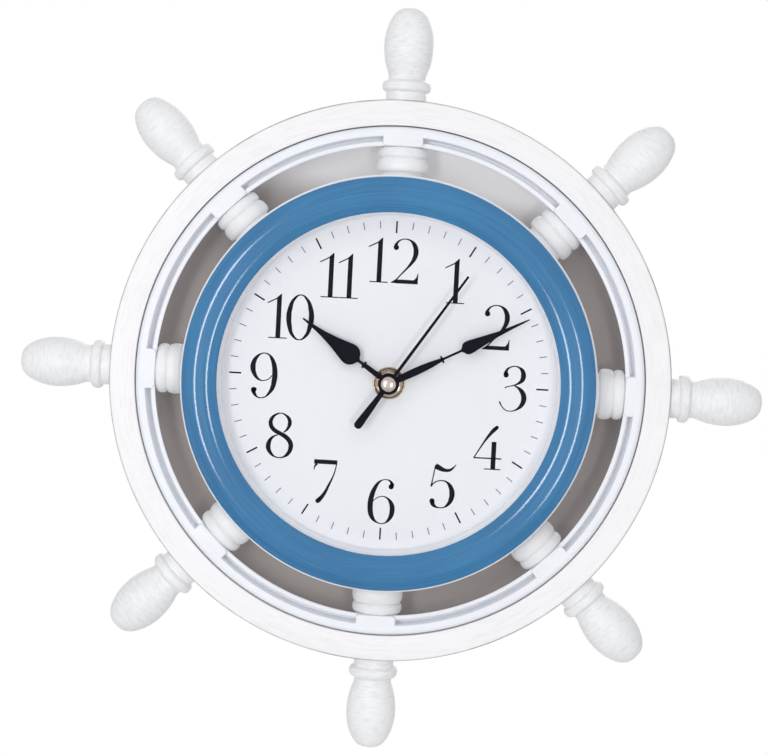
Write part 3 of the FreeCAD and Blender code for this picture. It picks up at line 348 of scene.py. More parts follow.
def printFinish(dull, light):
    # the dial's white ground, faintly mottled
    finish = Finish("dial print", Roughness=0.62, Specular_IOR_Level=0.3)
    fleck = finish.noise("object", (420, 420, 420), 3.0, 0.6)
    cloud = finish.noise("object", (18, 18, 18), 2.0, 0.5)
    finish.vary(Base_Color=finish.blend(fleck * 0.5 + cloud * 0.5, colour(dull), colour(light)))
    finish.bump(fleck, 0.15, 0.0001)
    return finish


def plasticFinish(name, tone, rough=0.5, grain=900, depth=0.25, spread=14, gloss=0.5):
    # moulded plastic with a fine grain
    finish = Finish(name, Roughness=rough, Specular_IOR_Level=gloss)
    pits = finish.noise("object", (grain, grain, grain), 3.0, 0.55)
    cloud = finish.noise("object", (60, 60, 60), 2.0, 0.5)
    paint = finish.blend(cloud, colour(darker(tone, spread)), colour(tone))
    finish.vary(Base_Color=paint, Roughness=rough - 0.08 + pits * 0.16)
    finish.bump(pits, depth, 0.0002)
    return finish


def metalFinish(name, tone, rough, grain=(900, 900, 60), metallic=1.0, depth=0.15):
    # metal with fine tool marks
    finish = Finish(name, Metallic=metallic, Roughness=rough)
    marks = finish.noise("object", grain, 4.0, 0.6)
    dull = [part * 0.82 for part in tone]
    paint = finish.blend(marks, colour(dull), colour(tone))
    finish.vary(Base_Color=paint, Roughness=rough - 0.07 + marks * 0.16)
    finish.bump(marks, depth, 0.0001)
    return finish


def glassFinish():
    # flat glass: clear, and a little white at a glancing angle
    finish = Finish("clear glass", Base_Color=(1, 1, 1, 1), Roughness=0.03, IOR=1.5,
                    Specular_IOR_Level=0.4)
    glancing = finish.node("LayerWeight", output="Facing", Blend=0.5)
    finish.vary(Alpha=glancing ** 5 * 0.6 + 0.002)
    return finish


# a thin painted shade along the rim's front arris: radii and heights in millimetres, and its grey-brown tone
arrisShade = {"radius": (130.75, 131.35), "height": (21.4, 22.1), "under": (140, 132, 124)}
rimPaint = lacquerFinish("rim lacquer", 0.2, (90, 90, 900), (246, 244, 246), edgeShade=arrisShade)
ringPaint = lacquerFinish("ring lacquer", 0.08, (70, 70, 700), (241, 243, 248))
spokePaint = lacquerFinish("spoke lacquer", 0.15, (1100, 200, 200), (241, 241, 243))
handlePaint = lacquerFinish("handle lacquer", 0.3, (900, 240, 240), (243, 243, 244))
drumPaint = lacquerFinish("drum lacquer", 0.10, (70, 70, 500), (244, 244, 247))
bezelPaint = bezelFinish(deep=(8, 99, 151), light=(30, 121, 173))
dialPrint = printFinish(dull=(232, 233, 238), light=(244, 244, 248))
ringPlastic = plasticFinish("dial ring plastic", (236, 238, 244), rough=0.4, grain=600, depth=0.1,
                            spread=6)
numeralInk = plasticFinish("numeral ink", (20, 21, 33), grain=700, depth=0.1, spread=6, gloss=0.05)
tickInk = plasticFinish("tick ink", (112, 112, 117), grain=700, depth=0.1, spread=10, gloss=0.1)
handEnamel = plasticFinish("hand enamel", (9, 11, 24), rough=0.36, grain=500, depth=0.1, spread=5,
                           gloss=0.05)
capMetal = metalFinish("cap metal", (206, 194, 186), rough=0.2)
turnedBrass = metalFinish("turned brass", (184, 168, 150), rough=0.15)
tubeBrass = metalFinish("drawn brass", (200, 168, 106), rough=0.3)
steel = metalFinish("plain steel", (176, 178, 182), rough=0.32)
magnetGrey = metalFinish("dark magnet", (70, 71, 75), rough=0.45, grain=(500, 500, 500))
copper = metalFinish("copper winding", (176, 94, 52), rough=0.3, grain=(200, 200, 9000), depth=0.6)
rubber = plasticFinish("black rubber", (34, 34, 35), rough=0.75, grain=700, depth=0.35)
casePlastic = plasticFinish("case plastic", (44, 44, 46), rough=0.55, grain=1100, depth=0.5)
knobPlastic = plasticFinish("knob plastic", (50, 50, 52), grain=1000, depth=0.4)
platePlastic = plasticFinish("natural plastic", (214, 212, 204), grain=500, depth=0.15)
wheelPlastic = plasticFinish("acetal plastic", (232, 230, 220), rough=0.42, grain=500, depth=0.12)
boardBrown = plasticFinish("phenolic board", (132, 92, 48), grain=300, depth=0.2, spread=24)
chipBlack = plasticFinish("chip epoxy", (26, 26, 27), rough=0.35, grain=300, depth=0.2)
batterySleeve = metalFinish("battery sleeve", (120, 122, 128), rough=0.35, grain=(60, 900, 900),
                            metallic=0.6)
clearGlass = glassFinish()
print("materials made")


# Wheel: outer band and moulded ring

wheel = {"spokeCount": 8, "middle": 12.0}
outerBand = {
    "seamRadius": 119.65,
    "outerRadius": 131.6,
    "back": 1.0,
    "front": 23.0,
    "seamRounding": (0.4, 0.45),
    "edgeRounding": (0.8, 1.1),
}


def makeOuterBand():
    band = outerBand
    seamBack, seamFront = band["seamRounding"]
    edgeBack, edgeFront = band["edgeRounding"]
    points = [
        (band["seamRadius"], band["back"], seamBack),
        (band["outerRadius"], band["back"], edgeBack),
        (band["outerRadius"], band["front"], edgeFront),
        (band["seamRadius"], band["front"], seamFront),
    ]
    hang("outerRim", ringShape(points), rimPaint, "outer_rim")


innerRing = {
    "innerRadius": 110.2,
    "backInnerRadius": 113.6,
    "outerRadius": 119.2,
    "back": 1.0,
    "front": 23.0,
    "channelHeight": 16.2,
    "stripRadius": 112.5,
    "stripHeight": 20.6,
    "stripFall": 0.3,
    "footRadius": 114.0,
    "browRadius": 114.75,
    "backRounding": (0.5, 0.3),
    "quarterRound": 2.3,
    "browRounding": 0.25,
    "footRounding": 0.15,
    "coveRounding": 0.9,
    "stripRounding": 0.4,
}
pads = {
    "width": 18.6,
    "reach": 116.6,
    "corner": 1.6,
    "rounding": 0.5,
    "overhang": 0.15,
    "rise": 0.012,
    "sink": 1.0,
}


def padShapes():
    # the flat pads over the spokes, with rounded inner corners and edges
    shape = bmesh.new()
    half = pads["width"] / 2
    inner = innerRing["innerRadius"] - pads["overhang"]
    base = innerRing["channelHeight"] - pads["sink"]
    corners = [shape.verts.new((along, across, base)) for along, across in (
        (pads["reach"], -half), (pads["reach"], half), (inner, half), (inner, -half))]
    shape.faces.new(corners)
    roundOff(shape, corners[2:], pads["corner"], 8, "VERTICES")
    top = thicken(shape, innerRing["front"] + pads["rise"] - base)
    rim = [edge for edge in shape.edges if all(vertex in top for vertex in edge.verts)
           and not all(math.isclose(vertex.co.x, pads["reach"], abs_tol=0.01) for vertex in edge.verts)]
    roundOff(shape, rim, pads["rounding"], 4)
    shape.verts.layers.float_vector.new("turning")  # filled once the pads are part of the ring
    return arrayed(shape)


def makeInnerRing():
    ring = innerRing
    inside, outside = ring["backRounding"]
    shape = ringShape([
        (ring["backInnerRadius"], ring["back"], inside),
        (ring["outerRadius"], ring["back"], outside),
        (ring["outerRadius"], ring["front"], ring["quarterRound"]),
        (ring["browRadius"], ring["front"], ring["browRounding"]),
        (ring["footRadius"], ring["channelHeight"], ring["footRounding"]),
        (ring["stripRadius"], ring["channelHeight"], ring["footRounding"]),
        (ring["stripRadius"], ring["stripHeight"], ring["coveRounding"]),
        (ring["innerRadius"], ring["stripHeight"] - ring["stripFall"], ring["stripRounding"]),
    ])
    join(shape, padShapes())
    markRound(shape)
    hang("innerRing", shape, ringPaint, "inner_ring")


makeOuterBand()
makeInnerRing()
print("wheel made")


# Turned spokes and handles, their axes at one height over the wall, each profile from the hub outwards

spokes = {
    "node": "spokes",
    "profile": [
        (95.2, 0, 0),
        (95.2, 9.7, 0),
        (98.2, 9.7, 0.2),
        (98.4, 11.1, 0.8),
        (99.8, 11.95, 1.3),
        (103.2, 11.95, 1.4),
        (104.6, 11.1, 0.8),
        (104.9, 10.5, 0.15),
        (105.2, 11.0, 0.6),
        (106.2, 11.7, 1.0),
        (108.6, 11.7, 1.0),
        (109.7, 10.9, 0.7),
        (110.0, 9.9, 0.2),
        (115.5, 9.9, 0),
        (115.5, 0, 0),
    ],
}
handles = {
    "node": "handles",
    "profile": [
        (131.2, 0, 0),
        (131.2, 9.6, 0),
        (135.7, 9.4, 0.4),
        (136.2, 11.1, 0.9),
        (138.3, 11.55, 0.8),
        (140.3, 11.1, 0.9),
        (141.2, 8.9, 0.5),
        (143.4, 8.75, 0.6),
        (146.4, 9.9, 1.6),
        (151.0, 11.15, 2.1),
        (157.6, 11.85, 2.8),
        (163.5, 11.2, 2.6),
        (168.6, 9.5, 2.2),
        (172.2, 7.4, 1.7),
        (174.3, 4.9, 1.3),
        (175.0, 2.0, 0.6),
        (175.0, 0, 0),
    ],
}


def makeTurnings(name, turnings, finish):
    shape = arrayed(spindleShape(turnings["profile"]), wheel["middle"])
    hang(name, shape, finish, turnings["node"])


makeTurnings("turnedSpokes", spokes, spokePaint)
makeTurnings("turnedHandles", handles, handlePaint)
print("spokes and handles made")


# Drum, dial, glass and bezel

drum = {
    "node": "housing",
    "slot": "white_lacquer",
    "profile": [
        (4.25, 22.5, 0.2),
        (76.0, 22.5, 1.0),
        (76.0, 0.0, 0.5),
        (96.2, 0.0, 0.6),
        (96.2, 38.0, 0.5),
        (80.5, 38.0, 0.1),
        (80.5, 25.5, 0.1),
        (4.25, 25.5, 0.1),
    ],
}
dialPlate = {
    "node": "dial",
    "slot": "dial_white",
    "profile": [
        (4.25, 25.5, 0),
        (80.3, 25.5, 0),
        (80.3, 26.0, 0.1),
        (4.25, 26.0, 0.1),
    ],
}
dialRing = {
    "node": "dial_ring",
    "slot": "ring_white",
    "profile": [
        (77.8, 26.0, 0),
        (80.4, 26.0, 0),
        (80.4, 38.0, 0),
        (79.0, 38.0, 0.15),
        (78.75, 32.2, 0.12),
        (78.3, 31.9, 0.1),
    ],
}
bezel = {
    "node": "bezel",
    "slot": "blue_bezel",
    "steps": 256,
    "profile": [
        (95.25, 38.0, 0),
        (95.25, 40.15, 0.25),
        (93.45, 41.2, 1.5),
        (90.2, 42.62, 1.9),
        (86.8, 42.62, 1.4),
        (83.6, 42.62, 1.5),
        (80.6, 41.3, 1.2),
        (79.0, 40.4, 0.2),
        (79.0, 40.0, 0),
        (82.2, 40.0, 0),
        (82.2, 38.0, 0),
    ],
}
glass = {
    "node": "glass",
    "slot": "clear_glass",
    "profile": [
        (0.0, 38.0, 0),
        (82.1, 38.0, 0.15),
        (82.1, 40.0, 0.15),
        (0.0, 40.0, 0),
    ],
}


def makeRing(name, ring, finish):
    shape = ringShape(ring["profile"], ring.get("steps", ringSteps))
    hang(name, shape, finish, ring["node"])


def makeDisc(name, disc, finish, body="root"):
    # as a ring, but closed in the middle
    shape = turnRound(disc["profile"], dialAxis, disc.get("steps", ringSteps), closed=False)
    hang(name, shape, finish, disc["node"], body)


makeRing("drum", drum, drumPaint)
makeRing("dialPlate", dialPlate, dialPrint)
makeRing("dialRing", dialRing, ringPlastic)
makeRing("blueBezel", bezel, bezelPaint)
makeDisc("flatGlass", glass, clearGlass)
print("drum, dial, glass and bezel made")


# Metal of the hub

washer = {
    "node": "washer",
    "slot": "brass",
    "steps": 96,
    "profile": [
        (4.0, 26.0, 0),
        (7.55, 26.0, 0),
        (7.55, 26.85, 0.35),
        (6.8, 26.85, 0.3),
        (6.5, 26.3, 0.1),
        (4.0, 26.3, 0),
    ],
}
cap = {
    "node": "second_hand_cap",
    "slot": "cap_metal",
    "steps": 64,
    "profile": [
        (0.0, 35.2, 0),
        (3.5, 35.2, 0),
        (3.5, 35.9, 0.4),
        (1.9, 36.5, 0.8),
        (0.0, 36.6, 0),
    ],
}
nut = {"cornerRadius": 6.0, "holeRadius": 4.0, "back": 26.8, "front": 29.0, "rounding": 0.25}


def makeNut():
    shape = bmesh.new()
    outside = bmesh.ops.create_circle(shape, segments=6, radius=nut["cornerRadius"])["verts"]
    inside = bmesh.ops.create_circle(shape, segments=48, radius=nut["holeRadius"])["verts"]
    loops = list({edge for vertex in outside + inside for edge in vertex.link_edges})
    bmesh.ops.triangle_fill(shape, use_beauty=True, edges=loops)
    bmesh.ops.translate(shape, verts=shape.verts, vec=(0, 0, nut["back"]))
    thicken(shape, nut["front"] - nut["back"])
    # the hexagon's own edges: sharp ones with both ends at its corners
    hexagon = [edge for edge in shape.edges if edge.calc_face_angle(0) > math.radians(30)
               and all(vertex.co.xy.length > nut["cornerRadius"] - 0.1 for vertex in edge.verts)]
    roundOff(shape, hexagon, nut["rounding"], 3)
    hang("hexNut", shape, turnedBrass, "nut")


makeRing("brassWasher", washer, turnedBrass)
makeNut()
makeDisc("handCap", cap, capMetal, "second")
print("hub made")


# Print on the dial: ticks and numerals

printHeight = 26.03
ticks = {
    "count": 60,
    "hourEvery": 5,
    "outerRadius": 74.4,
    "turn": 0.18,
    "shift": (-0.3, 0.9, 0),
    "hourTicks": {"length": 5.6, "width": 0.75},
    "minuteTicks": {"length": 3.4, "width": 0.42},
}


def makeTicks(name, ink):
    shape = bmesh.new()
    length, width = ticks[name]["length"], ticks[name]["width"]
    for index in range(ticks["count"]):
        kind = "minuteTicks" if index % ticks["hourEvery"] else "hourTicks"
        if kind != name:
            continue
        bar = bmesh.ops.create_grid(shape, x_segments=1, y_segments=1, size=0.5)["verts"]
        bmesh.ops.scale(shape, verts=bar, vec=(width, length, 1))
        bmesh.ops.translate(shape, verts=bar, vec=(0, ticks["outerRadius"] - length / 2, printHeight))
        swing(shape, bar, fullTurn * index / ticks["count"] + math.radians(ticks["turn"]))
    bmesh.ops.translate(shape, verts=shape.verts, vec=ticks["shift"])
    hang(name, shape, ink, flat=True)


makeTicks("hourTicks", numeralInk)
makeTicks("minuteTicks", tickInk)

# Each digit in hundredths of its height, from its foot line: curved and straight strokes of the pen as
# (x, y, width), closed loops, and balls as (x, y, radius)
digitForms = {
    "0": {"loops": [[(0, 96.8, 2.2), (-15, 87, 6), (-22.5, 68, 10), (-24.7, 48.5, 11.5), (-22.5, 29, 10.3),
                     (-15, 9, 6.5), (0, -0.4, 2.2), (14, 9, 6.5), (22, 29, 10.3), (24.6, 48.5, 11.8),
                     (22, 68, 10.3), (14, 87, 6)]]},
    "1": {"lines": [[(0, 0, 10.5), (0, 87.5, 10.5), (4.6, 97, 1.2)], [(-25.5, 76, 2.4), (-3, 87.6, 2.8)],
                    [(-20.5, 1.2, 2.3), (19.5, 1.2, 2.3)]]},
    "2": {"curves": [[(-21.5, 80.5, 8), (-17.5, 88.5, 4.5), (-9.5, 94.5, 2.6), (0, 96.2, 2.2), (10, 93.6, 4),
                      (19, 85, 9), (23.3, 70.5, 11.4), (21, 56.5, 9.6), (15, 45.5, 6.6), (6.5, 34.5, 4.2),
                      (-6.5, 20, 2.9), (-19.5, 6, 2.8), (-28, 1.3, 2.2)]],
          "lines": [[(-19, 4.3, 8.6), (30.6, 4.3, 8.6)], [(-26, 1.4, 2.8), (-17, 4.6, 7)],
                    [(30.1, 23.5, 1.5), (28.8, 14, 4), (26, 7, 9)]],
          "balls": [(-20, 77.5, 5.9)]},
    "3": {"curves": [[(-17.8, 80, 7.5), (-14.5, 88.5, 5.2), (-8, 93.6, 3), (2, 96.3, 2.2), (11, 94.2, 3.8),
                      (18.6, 87.5, 8.6), (21.6, 77, 11.2), (19.6, 67.6, 9.8), (14, 61.4, 6), (5.5, 56.6, 3),
                      (-4, 53.4, 2.2), (-12, 51.6, 2.3), (-17.4, 48.6, 3.2)],
                     [(3, 54.5, 2.2), (10.5, 50.8, 4.6), (18.6, 43.8, 9.2), (24, 34, 11.4), (24.8, 24, 11.4),
                      (20.5, 12.6, 9), (12.5, 4.4, 4.8), (4.5, 0.3, 2.6), (-4, -1.2, 2.1), (-13, 0.4, 2.3),
                      (-20.5, 6.6, 2.4), (-25.4, 14, 3), (-27.6, 18.6, 3.6)]],
          "balls": [(-16.2, 76.6, 5.6), (-16.8, 80, 5)]},
    "4": {"curves": [[(8.6, 92.8, 7.6), (2, 87, 9), (-7, 76, 6.6), (-19, 58.5, 3.8), (-30, 40, 2.8),
                      (-38.6, 25.5, 2.6)]],
          "lines": [[(-40, 24.6, 3), (21, 24.6, 3)], [(3.5, 1, 10.5), (3.5, 61, 10.5)],
                    [(-15.5, 1.2, 2.4), (20, 1.2, 2.4)]],
          "balls": [(8, 92.6, 3.9)]},
    "5": {"curves": [[(-20.2, 90, 12.5), (-11, 85.5, 11), (1, 81.5, 7.6), (11, 82.3, 6), (19.4, 88.6, 3.4),
                      (24.6, 95, 1.4)],
                     [(-27.8, 44.5, 3.2), (-23, 51.6, 2.8), (-14, 57, 2.4), (-3, 58.6, 2.4), (6, 55.6, 4.2),
                      (14.2, 46.6, 9), (18.6, 33, 12), (17, 18.6, 10.6), (11, 7.4, 6.8), (3, 0.8, 3),
                      (-7, -0.8, 2.2), (-15.5, 0.8, 4.6), (-21.8, 6, 9), (-24.4, 13.6, 11)]],
          "lines": [[(-20.2, 92, 2.6), (-25.8, 57, 2.6), (-28, 45, 3.2)]],
          "balls": [(-24.2, 13.4, 5.7)]},
    "6": {"curves": [[(19, 80.6, 9), (18.6, 87.6, 6.8), (14.4, 93, 3.8), (7, 95.4, 2.1), (-1, 94.4, 2.2),
                      (-9, 89.4, 5), (-17, 77.4, 8.6), (-23, 62, 10.8), (-25.8, 47, 11.7), (-26, 33, 11.8),
                      (-24.4, 21, 11.2), (-20, 10.6, 8.8), (-14, 4, 5), (-7, 0.2, 2.8), (0, -1, 2),
                      (8, 0.8, 2.8), (14.4, 6.6, 6), (20.4, 17.4, 10), (22.4, 29, 11.2), (21.4, 39, 10.6),
                      (17.4, 47.8, 7.5), (11, 54.6, 4), (2, 58.4, 2.2), (-6, 57.6, 2), (-14, 53.4, 2),
                      (-20, 47.6, 2)]],
          "balls": [(17.7, 80.4, 5.7), (19.6, 84.5, 4.6)]},
    "7": {"curves": [[(28.4, 88, 2.5), (26.5, 75.6, 2.6), (21.4, 58.6, 3.2), (13.8, 41.6, 4.9), (3.8, 20.6, 7.4),
                      (-7.4, 6.4, 10.2)], [(-20.4, 72.6, 1.4), (-19, 80, 3.4), (-14.4, 86.6, 5.6)]],
          "lines": [[(-21, 91, 9.6), (30, 91, 9.6)]],
          "balls": [(-8.8, 5.6, 5.3)]},
    "8": {"curves": [[(10, 54, 2.4), (18, 62, 5.6), (22.5, 74, 8.8), (21, 83, 8), (14, 91, 4.6), (3, 95.6, 2.2),
                      (-9.5, 91.4, 4.6), (-18, 81.4, 8.2), (-18.8, 70, 9.4), (-11.5, 59, 9.2), (3, 51.2, 9),
                      (17, 43, 10), (26, 31.6, 10.4), (26.8, 20.6, 10), (21, 7.6, 7.8), (12, 0.6, 3.6),
                      (3, -1.4, 2.2), (-7, 0.4, 3.2), (-16, 7.4, 7), (-22, 19, 10.5), (-21.5, 29, 10),
                      (-17, 39, 6.5), (-9, 45.6, 3.5), (-2, 48.4, 2)]]},
    "9": {"curves": [[(16, 48.6, 2), (10, 41.2, 2.2), (2, 37.4, 2.2), (-6, 36.6, 2.4), (-14, 40, 5),
                      (-22, 50, 9), (-26.2, 65, 12), (-23.6, 79, 9.6), (-17, 89, 6), (-10, 94.4, 3),
                      (-2, 96.3, 2.2), (7, 93.6, 3.6), (14.4, 85, 7.6), (20, 71, 10.6), (22.4, 53, 12),
                      (21.4, 36, 11.4), (18, 21, 9.4), (12, 10.6, 6), (4, 2, 3), (-6, -1.2, 2.2),
                      (-14, 0.6, 3.2), (-20.4, 7.6, 7.5), (-23.3, 14.4, 10)]],
          "balls": [(-22.6, 15.8, 5.8), (-20.4, 16.6, 4.6)]},
}
numerals = {
    "digitHeight": 21.5,
    "turn": 0.35,
    "squeeze": 0.993,
    "shift": (-0.25, 1.2, 0),
    # each digit with the place of its foot line's middle, in millimetres from the dial's middle
    "places": [
        ("1", -7.0, 45.3), ("2", 4.7, 45.3), ("1", 29.2, 37.3), ("2", 48.9, 16.8), ("3", 58.3, -11.0),
        ("4", 50.2, -39.1), ("5", 28.5, -58.0), ("6", 0.0, -66.9), ("7", -28.5, -59.2), ("8", -50.2, -38.5),
        ("9", -58.3, -11.0), ("1", -53.0, 16.9), ("0", -42.9, 16.8), ("1", -29.4, 37.1), ("1", -20.6, 37.1),
    ],
}


def strokeMesh(form):
    # a digit or a hand as a flat mesh, drawn with a straight pen that is as wide as each point says
    nib = bpy.data.curves.new("nib", "CURVE")
    edge = nib.splines.new("POLY")
    edge.points.add(1)
    edge.points[0].co = (-0.5, 0, 0, 1)
    edge.points[1].co = (0.5, 0, 0, 1)
    pen = bpy.data.objects.new("pen", nib)
    curve = bpy.data.curves.new("strokes", "CURVE")
    curve.dimensions = "3D"
    curve.twist_mode = "Z_UP"
    curve.bevel_mode = "OBJECT"
    curve.bevel_object = pen
    curve.resolution_u = 6
    for kind, handleType in (("curves", "AUTO"), ("loops", "AUTO"), ("lines", "VECTOR")):
        for stroke in form.get(kind, []):
            spline = curve.splines.new("BEZIER")
            spline.bezier_points.add(len(stroke) - 1)
            spline.use_cyclic_u = kind == "loops"
            for point, (x, y, width) in zip(spline.bezier_points, stroke):
                point.co = (x, y, 0)
                point.radius = width
                point.handle_left_type = point.handle_right_type = handleType
    drawn = bpy.data.objects.new("strokes", curve)
    for drawing in (pen, drawn):
        scene.collection.objects.link(drawing)
    bpy.context.view_layer.update()
    data = bpy.data.meshes.new_from_object(drawn.evaluated_get(bpy.context.evaluated_depsgraph_get()))
    for drawing in (pen, drawn):
        bpy.data.objects.remove(drawing)
    for line in (nib, curve):
        bpy.data.curves.remove(line)
    return data


def makeNumerals():
    shape = bmesh.new()
    digits = {name: strokeMesh(form) for name, form in digitForms.items()}
    for name, x, y in numerals["places"]:
        digit = bmesh.new()
        digit.from_mesh(digits[name])
        for across, up, radius in digitForms[name].get("balls", []):
            bmesh.ops.create_circle(digit, cap_ends=True, segments=24, radius=radius,
                                    matrix=Matrix.Translation((across, up, 0)))
        place = Matrix.Translation((x, y, printHeight)) @ Matrix.Scale(numerals["digitHeight"] / 100, 4)
        bmesh.ops.transform(digit, verts=digit.verts, matrix=place)
        join(shape, digit)
    place = (Matrix.Translation(numerals["shift"])
             @ Matrix.Rotation(math.radians(numerals["turn"]), 4, "Z")
             @ Matrix.Scale(numerals["squeeze"], 4, (1, 0, 0)))
    bmesh.ops.transform(shape, verts=shape.verts, matrix=place)
    hang("numerals", shape, numeralInk, flat=True)


makeNumerals()
print("dial printed")


# Hands: each blade's strokes are (distance from the hub's middle, width), and a tail's distances are
# negative. The angle is clockwise from twelve, the heights are over the wall.

hands = {
    "hourHand": {
        "node": "hour_hand", "body": "hour", "angle": 304.0, "back": 30.0, "thickness": 0.5,
        "hubHole": 2.55, "hubRadius": 4.4, "hubHeight": 1.2,
        "strokes": [
            [(3.6, 2.8), (7.35, 2.55), (10.15, 2.35), (14.15, 2.15)],
            [(13.85, 3.5), (14.95, 3.3)],
            [(14.55, 1.6), (15.95, 1.3), (17.35, 1.35), (17.95, 2.8), (18.65, 5.9), (19.95, 8.4),
             (21.35, 9.65), (22.75, 9.9), (24.15, 9.5), (25.55, 8.75), (27.05, 7.9), (29.85, 6.4),
             (32.65, 5.05), (35.45, 4.0), (38.25, 2.95), (41.05, 2.25), (43.85, 1.7), (46.65, 1.2),
             (49.95, 0.7)],
        ],
    },
    "minuteHand": {
        "node": "minute_hand", "body": "minute", "angle": 62.1, "back": 32.2, "thickness": 0.5,
        "hubHole": 1.6, "hubRadius": 5.0, "hubHeight": 1.2,
        "strokes": [
            [(3.6, 2.9), (6.75, 3.2), (10.45, 3.5), (14.25, 3.6), (17.95, 3.35), (21.65, 2.85),
             (25.45, 2.05), (28.25, 1.2)],
            [(26.85, 3.6), (27.75, 3.4)],
            [(27.45, 1.1), (32.25, 1.05), (36.85, 1.1), (37.65, 2.2), (38.45, 4.7), (39.45, 5.9),
             (40.45, 6.25), (42.25, 6.05), (44.15, 5.45), (47.85, 4.35), (51.65, 3.4), (55.35, 2.35),
             (60.95, 1.6), (64.75, 1.2), (68.45, 0.9), (71.55, 0.5)],
        ],
    },
    "secondHand": {
        "node": "second_hand", "body": "second", "angle": 33.3, "back": 34.4, "thickness": 0.4,
        "hubHole": 0.5, "hubRadius": 2.2, "hubHeight": 0.8,
        "strokes": [
            [(0.9, 1.6), (26.0, 1.4), (61.8, 1.05)],
            [(-0.9, 2.0), (-7.0, 2.4), (-15.0, 3.2), (-22.8, 3.85), (-24.2, 3.6), (-25.0, 2.2),
             (-25.2, 0.4)],
        ],
    },
}
hub = {"steps": 72, "backRounding": 0.1, "frontRounding": 0.25, "holeRounding": 0.1}
bladeLift = 0.01  # keeps the blade's back out of the hub's


def makeHand(name, hand):
    back, front = hand["back"], hand["back"] + hand["hubHeight"]
    shape = ringShape([
        (hand["hubHole"], back, 0),
        (hand["hubRadius"], back, hub["backRounding"]),
        (hand["hubRadius"], front, hub["frontRounding"]),
        (hand["hubHole"], front, hub["holeRounding"]),
    ], hub["steps"])
    blade = bmesh.new()
    blade.from_mesh(strokeMesh({
        "curves": [[(0, along, width) for along, width in stroke] for stroke in hand["strokes"]]}))
    bmesh.ops.translate(blade, verts=blade.verts, vec=(0, 0, back + bladeLift))
    thicken(blade, hand["thickness"] - bladeLift)
    bmesh.ops.recalc_face_normals(blade, faces=blade.faces)
    swing(blade, blade.verts, -math.radians(hand["angle"]))
    join(shape, blade)
    hang(name, shape, handEnamel, hand["node"], hand["body"])


for name, hand in hands.items():
    makeHand(name, hand)
print("hands made")


# CAD nodes that keep their shape get their finish

finishes = {
    tubeBrass: ["threaded_bush", "cannon_tube", "second_arbor", "battery_contact_plus"],
    rubber: ["rubber_gasket"],
    casePlastic: ["movement_back_case", "movement_front_case"],
    platePlastic: ["middle_plate", "coil_bobbin"],
    wheelPlastic: ["centre_wheel", "third_wheel", "second_wheel", "intermediate_wheel", "rotor_pinion",
                   "motion_wheel", "hour_wheel", "setting_shaft"],
    steel: ["hanger_plate", "hanger_screws", "stator", "coil_core", "quartz_crystal",
            "battery_contact_minus"],
    magnetGrey: ["rotor_magnet"],
    copper: ["coil_winding"],
    boardBrown: ["circuit_board"],
    chipBlack: ["controller_chip"],
    knobPlastic: ["setting_knob"],
    batterySleeve: ["battery"],
}
for finish, names in finishes.items():
    for name in names:
        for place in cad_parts[name].material_slots:
            place.material = finish.material
print("CAD nodes finished")


# Stage, in metres: floor, the shaded wall behind the wheel, room, lamps and camera

floorSheet = {"halfSize": 0.6, "middle": (0, -0.15, -0.5), "tone": (236, 236, 236)}
wallDisc = {
    "radius": 0.125,
    "behind": 0.0015,
    # a painted shadow tone over the disc, and the open tone above the dial's middle past shadowEnds, tilted by
    # shadowTilt degrees
    "shadow": (167, 160, 156),
    "open": (238, 236, 236),
    "shadowEnds": (0.077, 0.095),
    "shadowTilt": -5,
}
room = {"tint": (0.97, 0.985, 1, 1), "front": 0.22, "sides": 0.42}
lampTarget = Vector((0, -0.02, dialHeight))
lamps = {
    "leftStrip": {"place": (-0.41, -1.17, -0.1), "size": (0.18, 0.52), "power": 3.5, "mirrored": True},
    "rightStrip": {"place": (0.34, -1.17, -0.21), "size": (0.16, 0.36), "power": 2.1, "mirrored": True},
    "topBox": {"place": (-0.1, -0.85, 0.46), "size": (1.5, 0.7), "power": 3.45, "mirrored": False},
    "backFill": {"place": (0.3, 1.3, 0.5), "size": (1.0, 1.0), "power": 8, "mirrored": True},
}
# the camera: angles in degrees, lens and shift in pixels of a frame as wide as frameWidth
view = {
    "target": Vector((-0.00268, -0.023, dialHeight + 0.00474)),
    "distance": 0.942,
    "azimuth": 1.583,
    "elevation": 3.446,
    "roll": 3.31,
    "frameWidth": 768,
    "focalPixels": 2017.46,
    "shiftPixels": -4.787,
    "sensorWidth": 36,
}


def makeFloor():
    paint = Finish("pale floor", Base_Color=colour(floorSheet["tone"]), Roughness=0.8)
    shape = bmesh.new()
    bmesh.ops.create_grid(shape, x_segments=1, y_segments=1, size=floorSheet["halfSize"])
    bmesh.ops.translate(shape, verts=shape.verts, vec=floorSheet["middle"])
    toObject("floor", shape, paint.material)


def makeWallDisc():
    # the piece of wall seen between the spokes; from behind and to the lamps it is clear. Its colour is a
    # painted shadow, with the open tone only in a band towards the top
    disc = wallDisc
    wall = Finish("shaded wall", Roughness=0.9)
    spot = wall.node("TexCoord", output="Object")
    turned = wall.node("Mapping", Vector=spot, Location=(0, 0, -dialHeight),
                       Rotation=(0, math.radians(disc["shadowTilt"]), 0))
    height = wall.node("SeparateXYZ", output="Z", Vector=turned)
    light = wall.rise(height, *disc["shadowEnds"], curve="SMOOTHSTEP")
    wall.vary(Base_Color=wall.blend(light, colour(disc["shadow"]), colour(disc["open"])))
    behind = wall.node("NewGeometry", output="Backfacing")
    unseen = behind.sum("MAXIMUM", wall.node("LightPath", output="Is Shadow Ray"))
    paint = Level(wall.tree, wall.shader.outputs[0])
    wall.surface("Material Output", unseen, paint, wall.node("BsdfTransparent"))

    shape = bmesh.new()
    bmesh.ops.create_circle(shape, cap_ends=True, segments=128, radius=disc["radius"])
    upright = Matrix.Translation((0, disc["behind"], dialHeight)) @ Matrix.Rotation(math.radians(90), 4, "X")
    bmesh.ops.transform(shape, verts=shape.verts, matrix=upright)
    toObject("wallDisc", shape, wall.material)


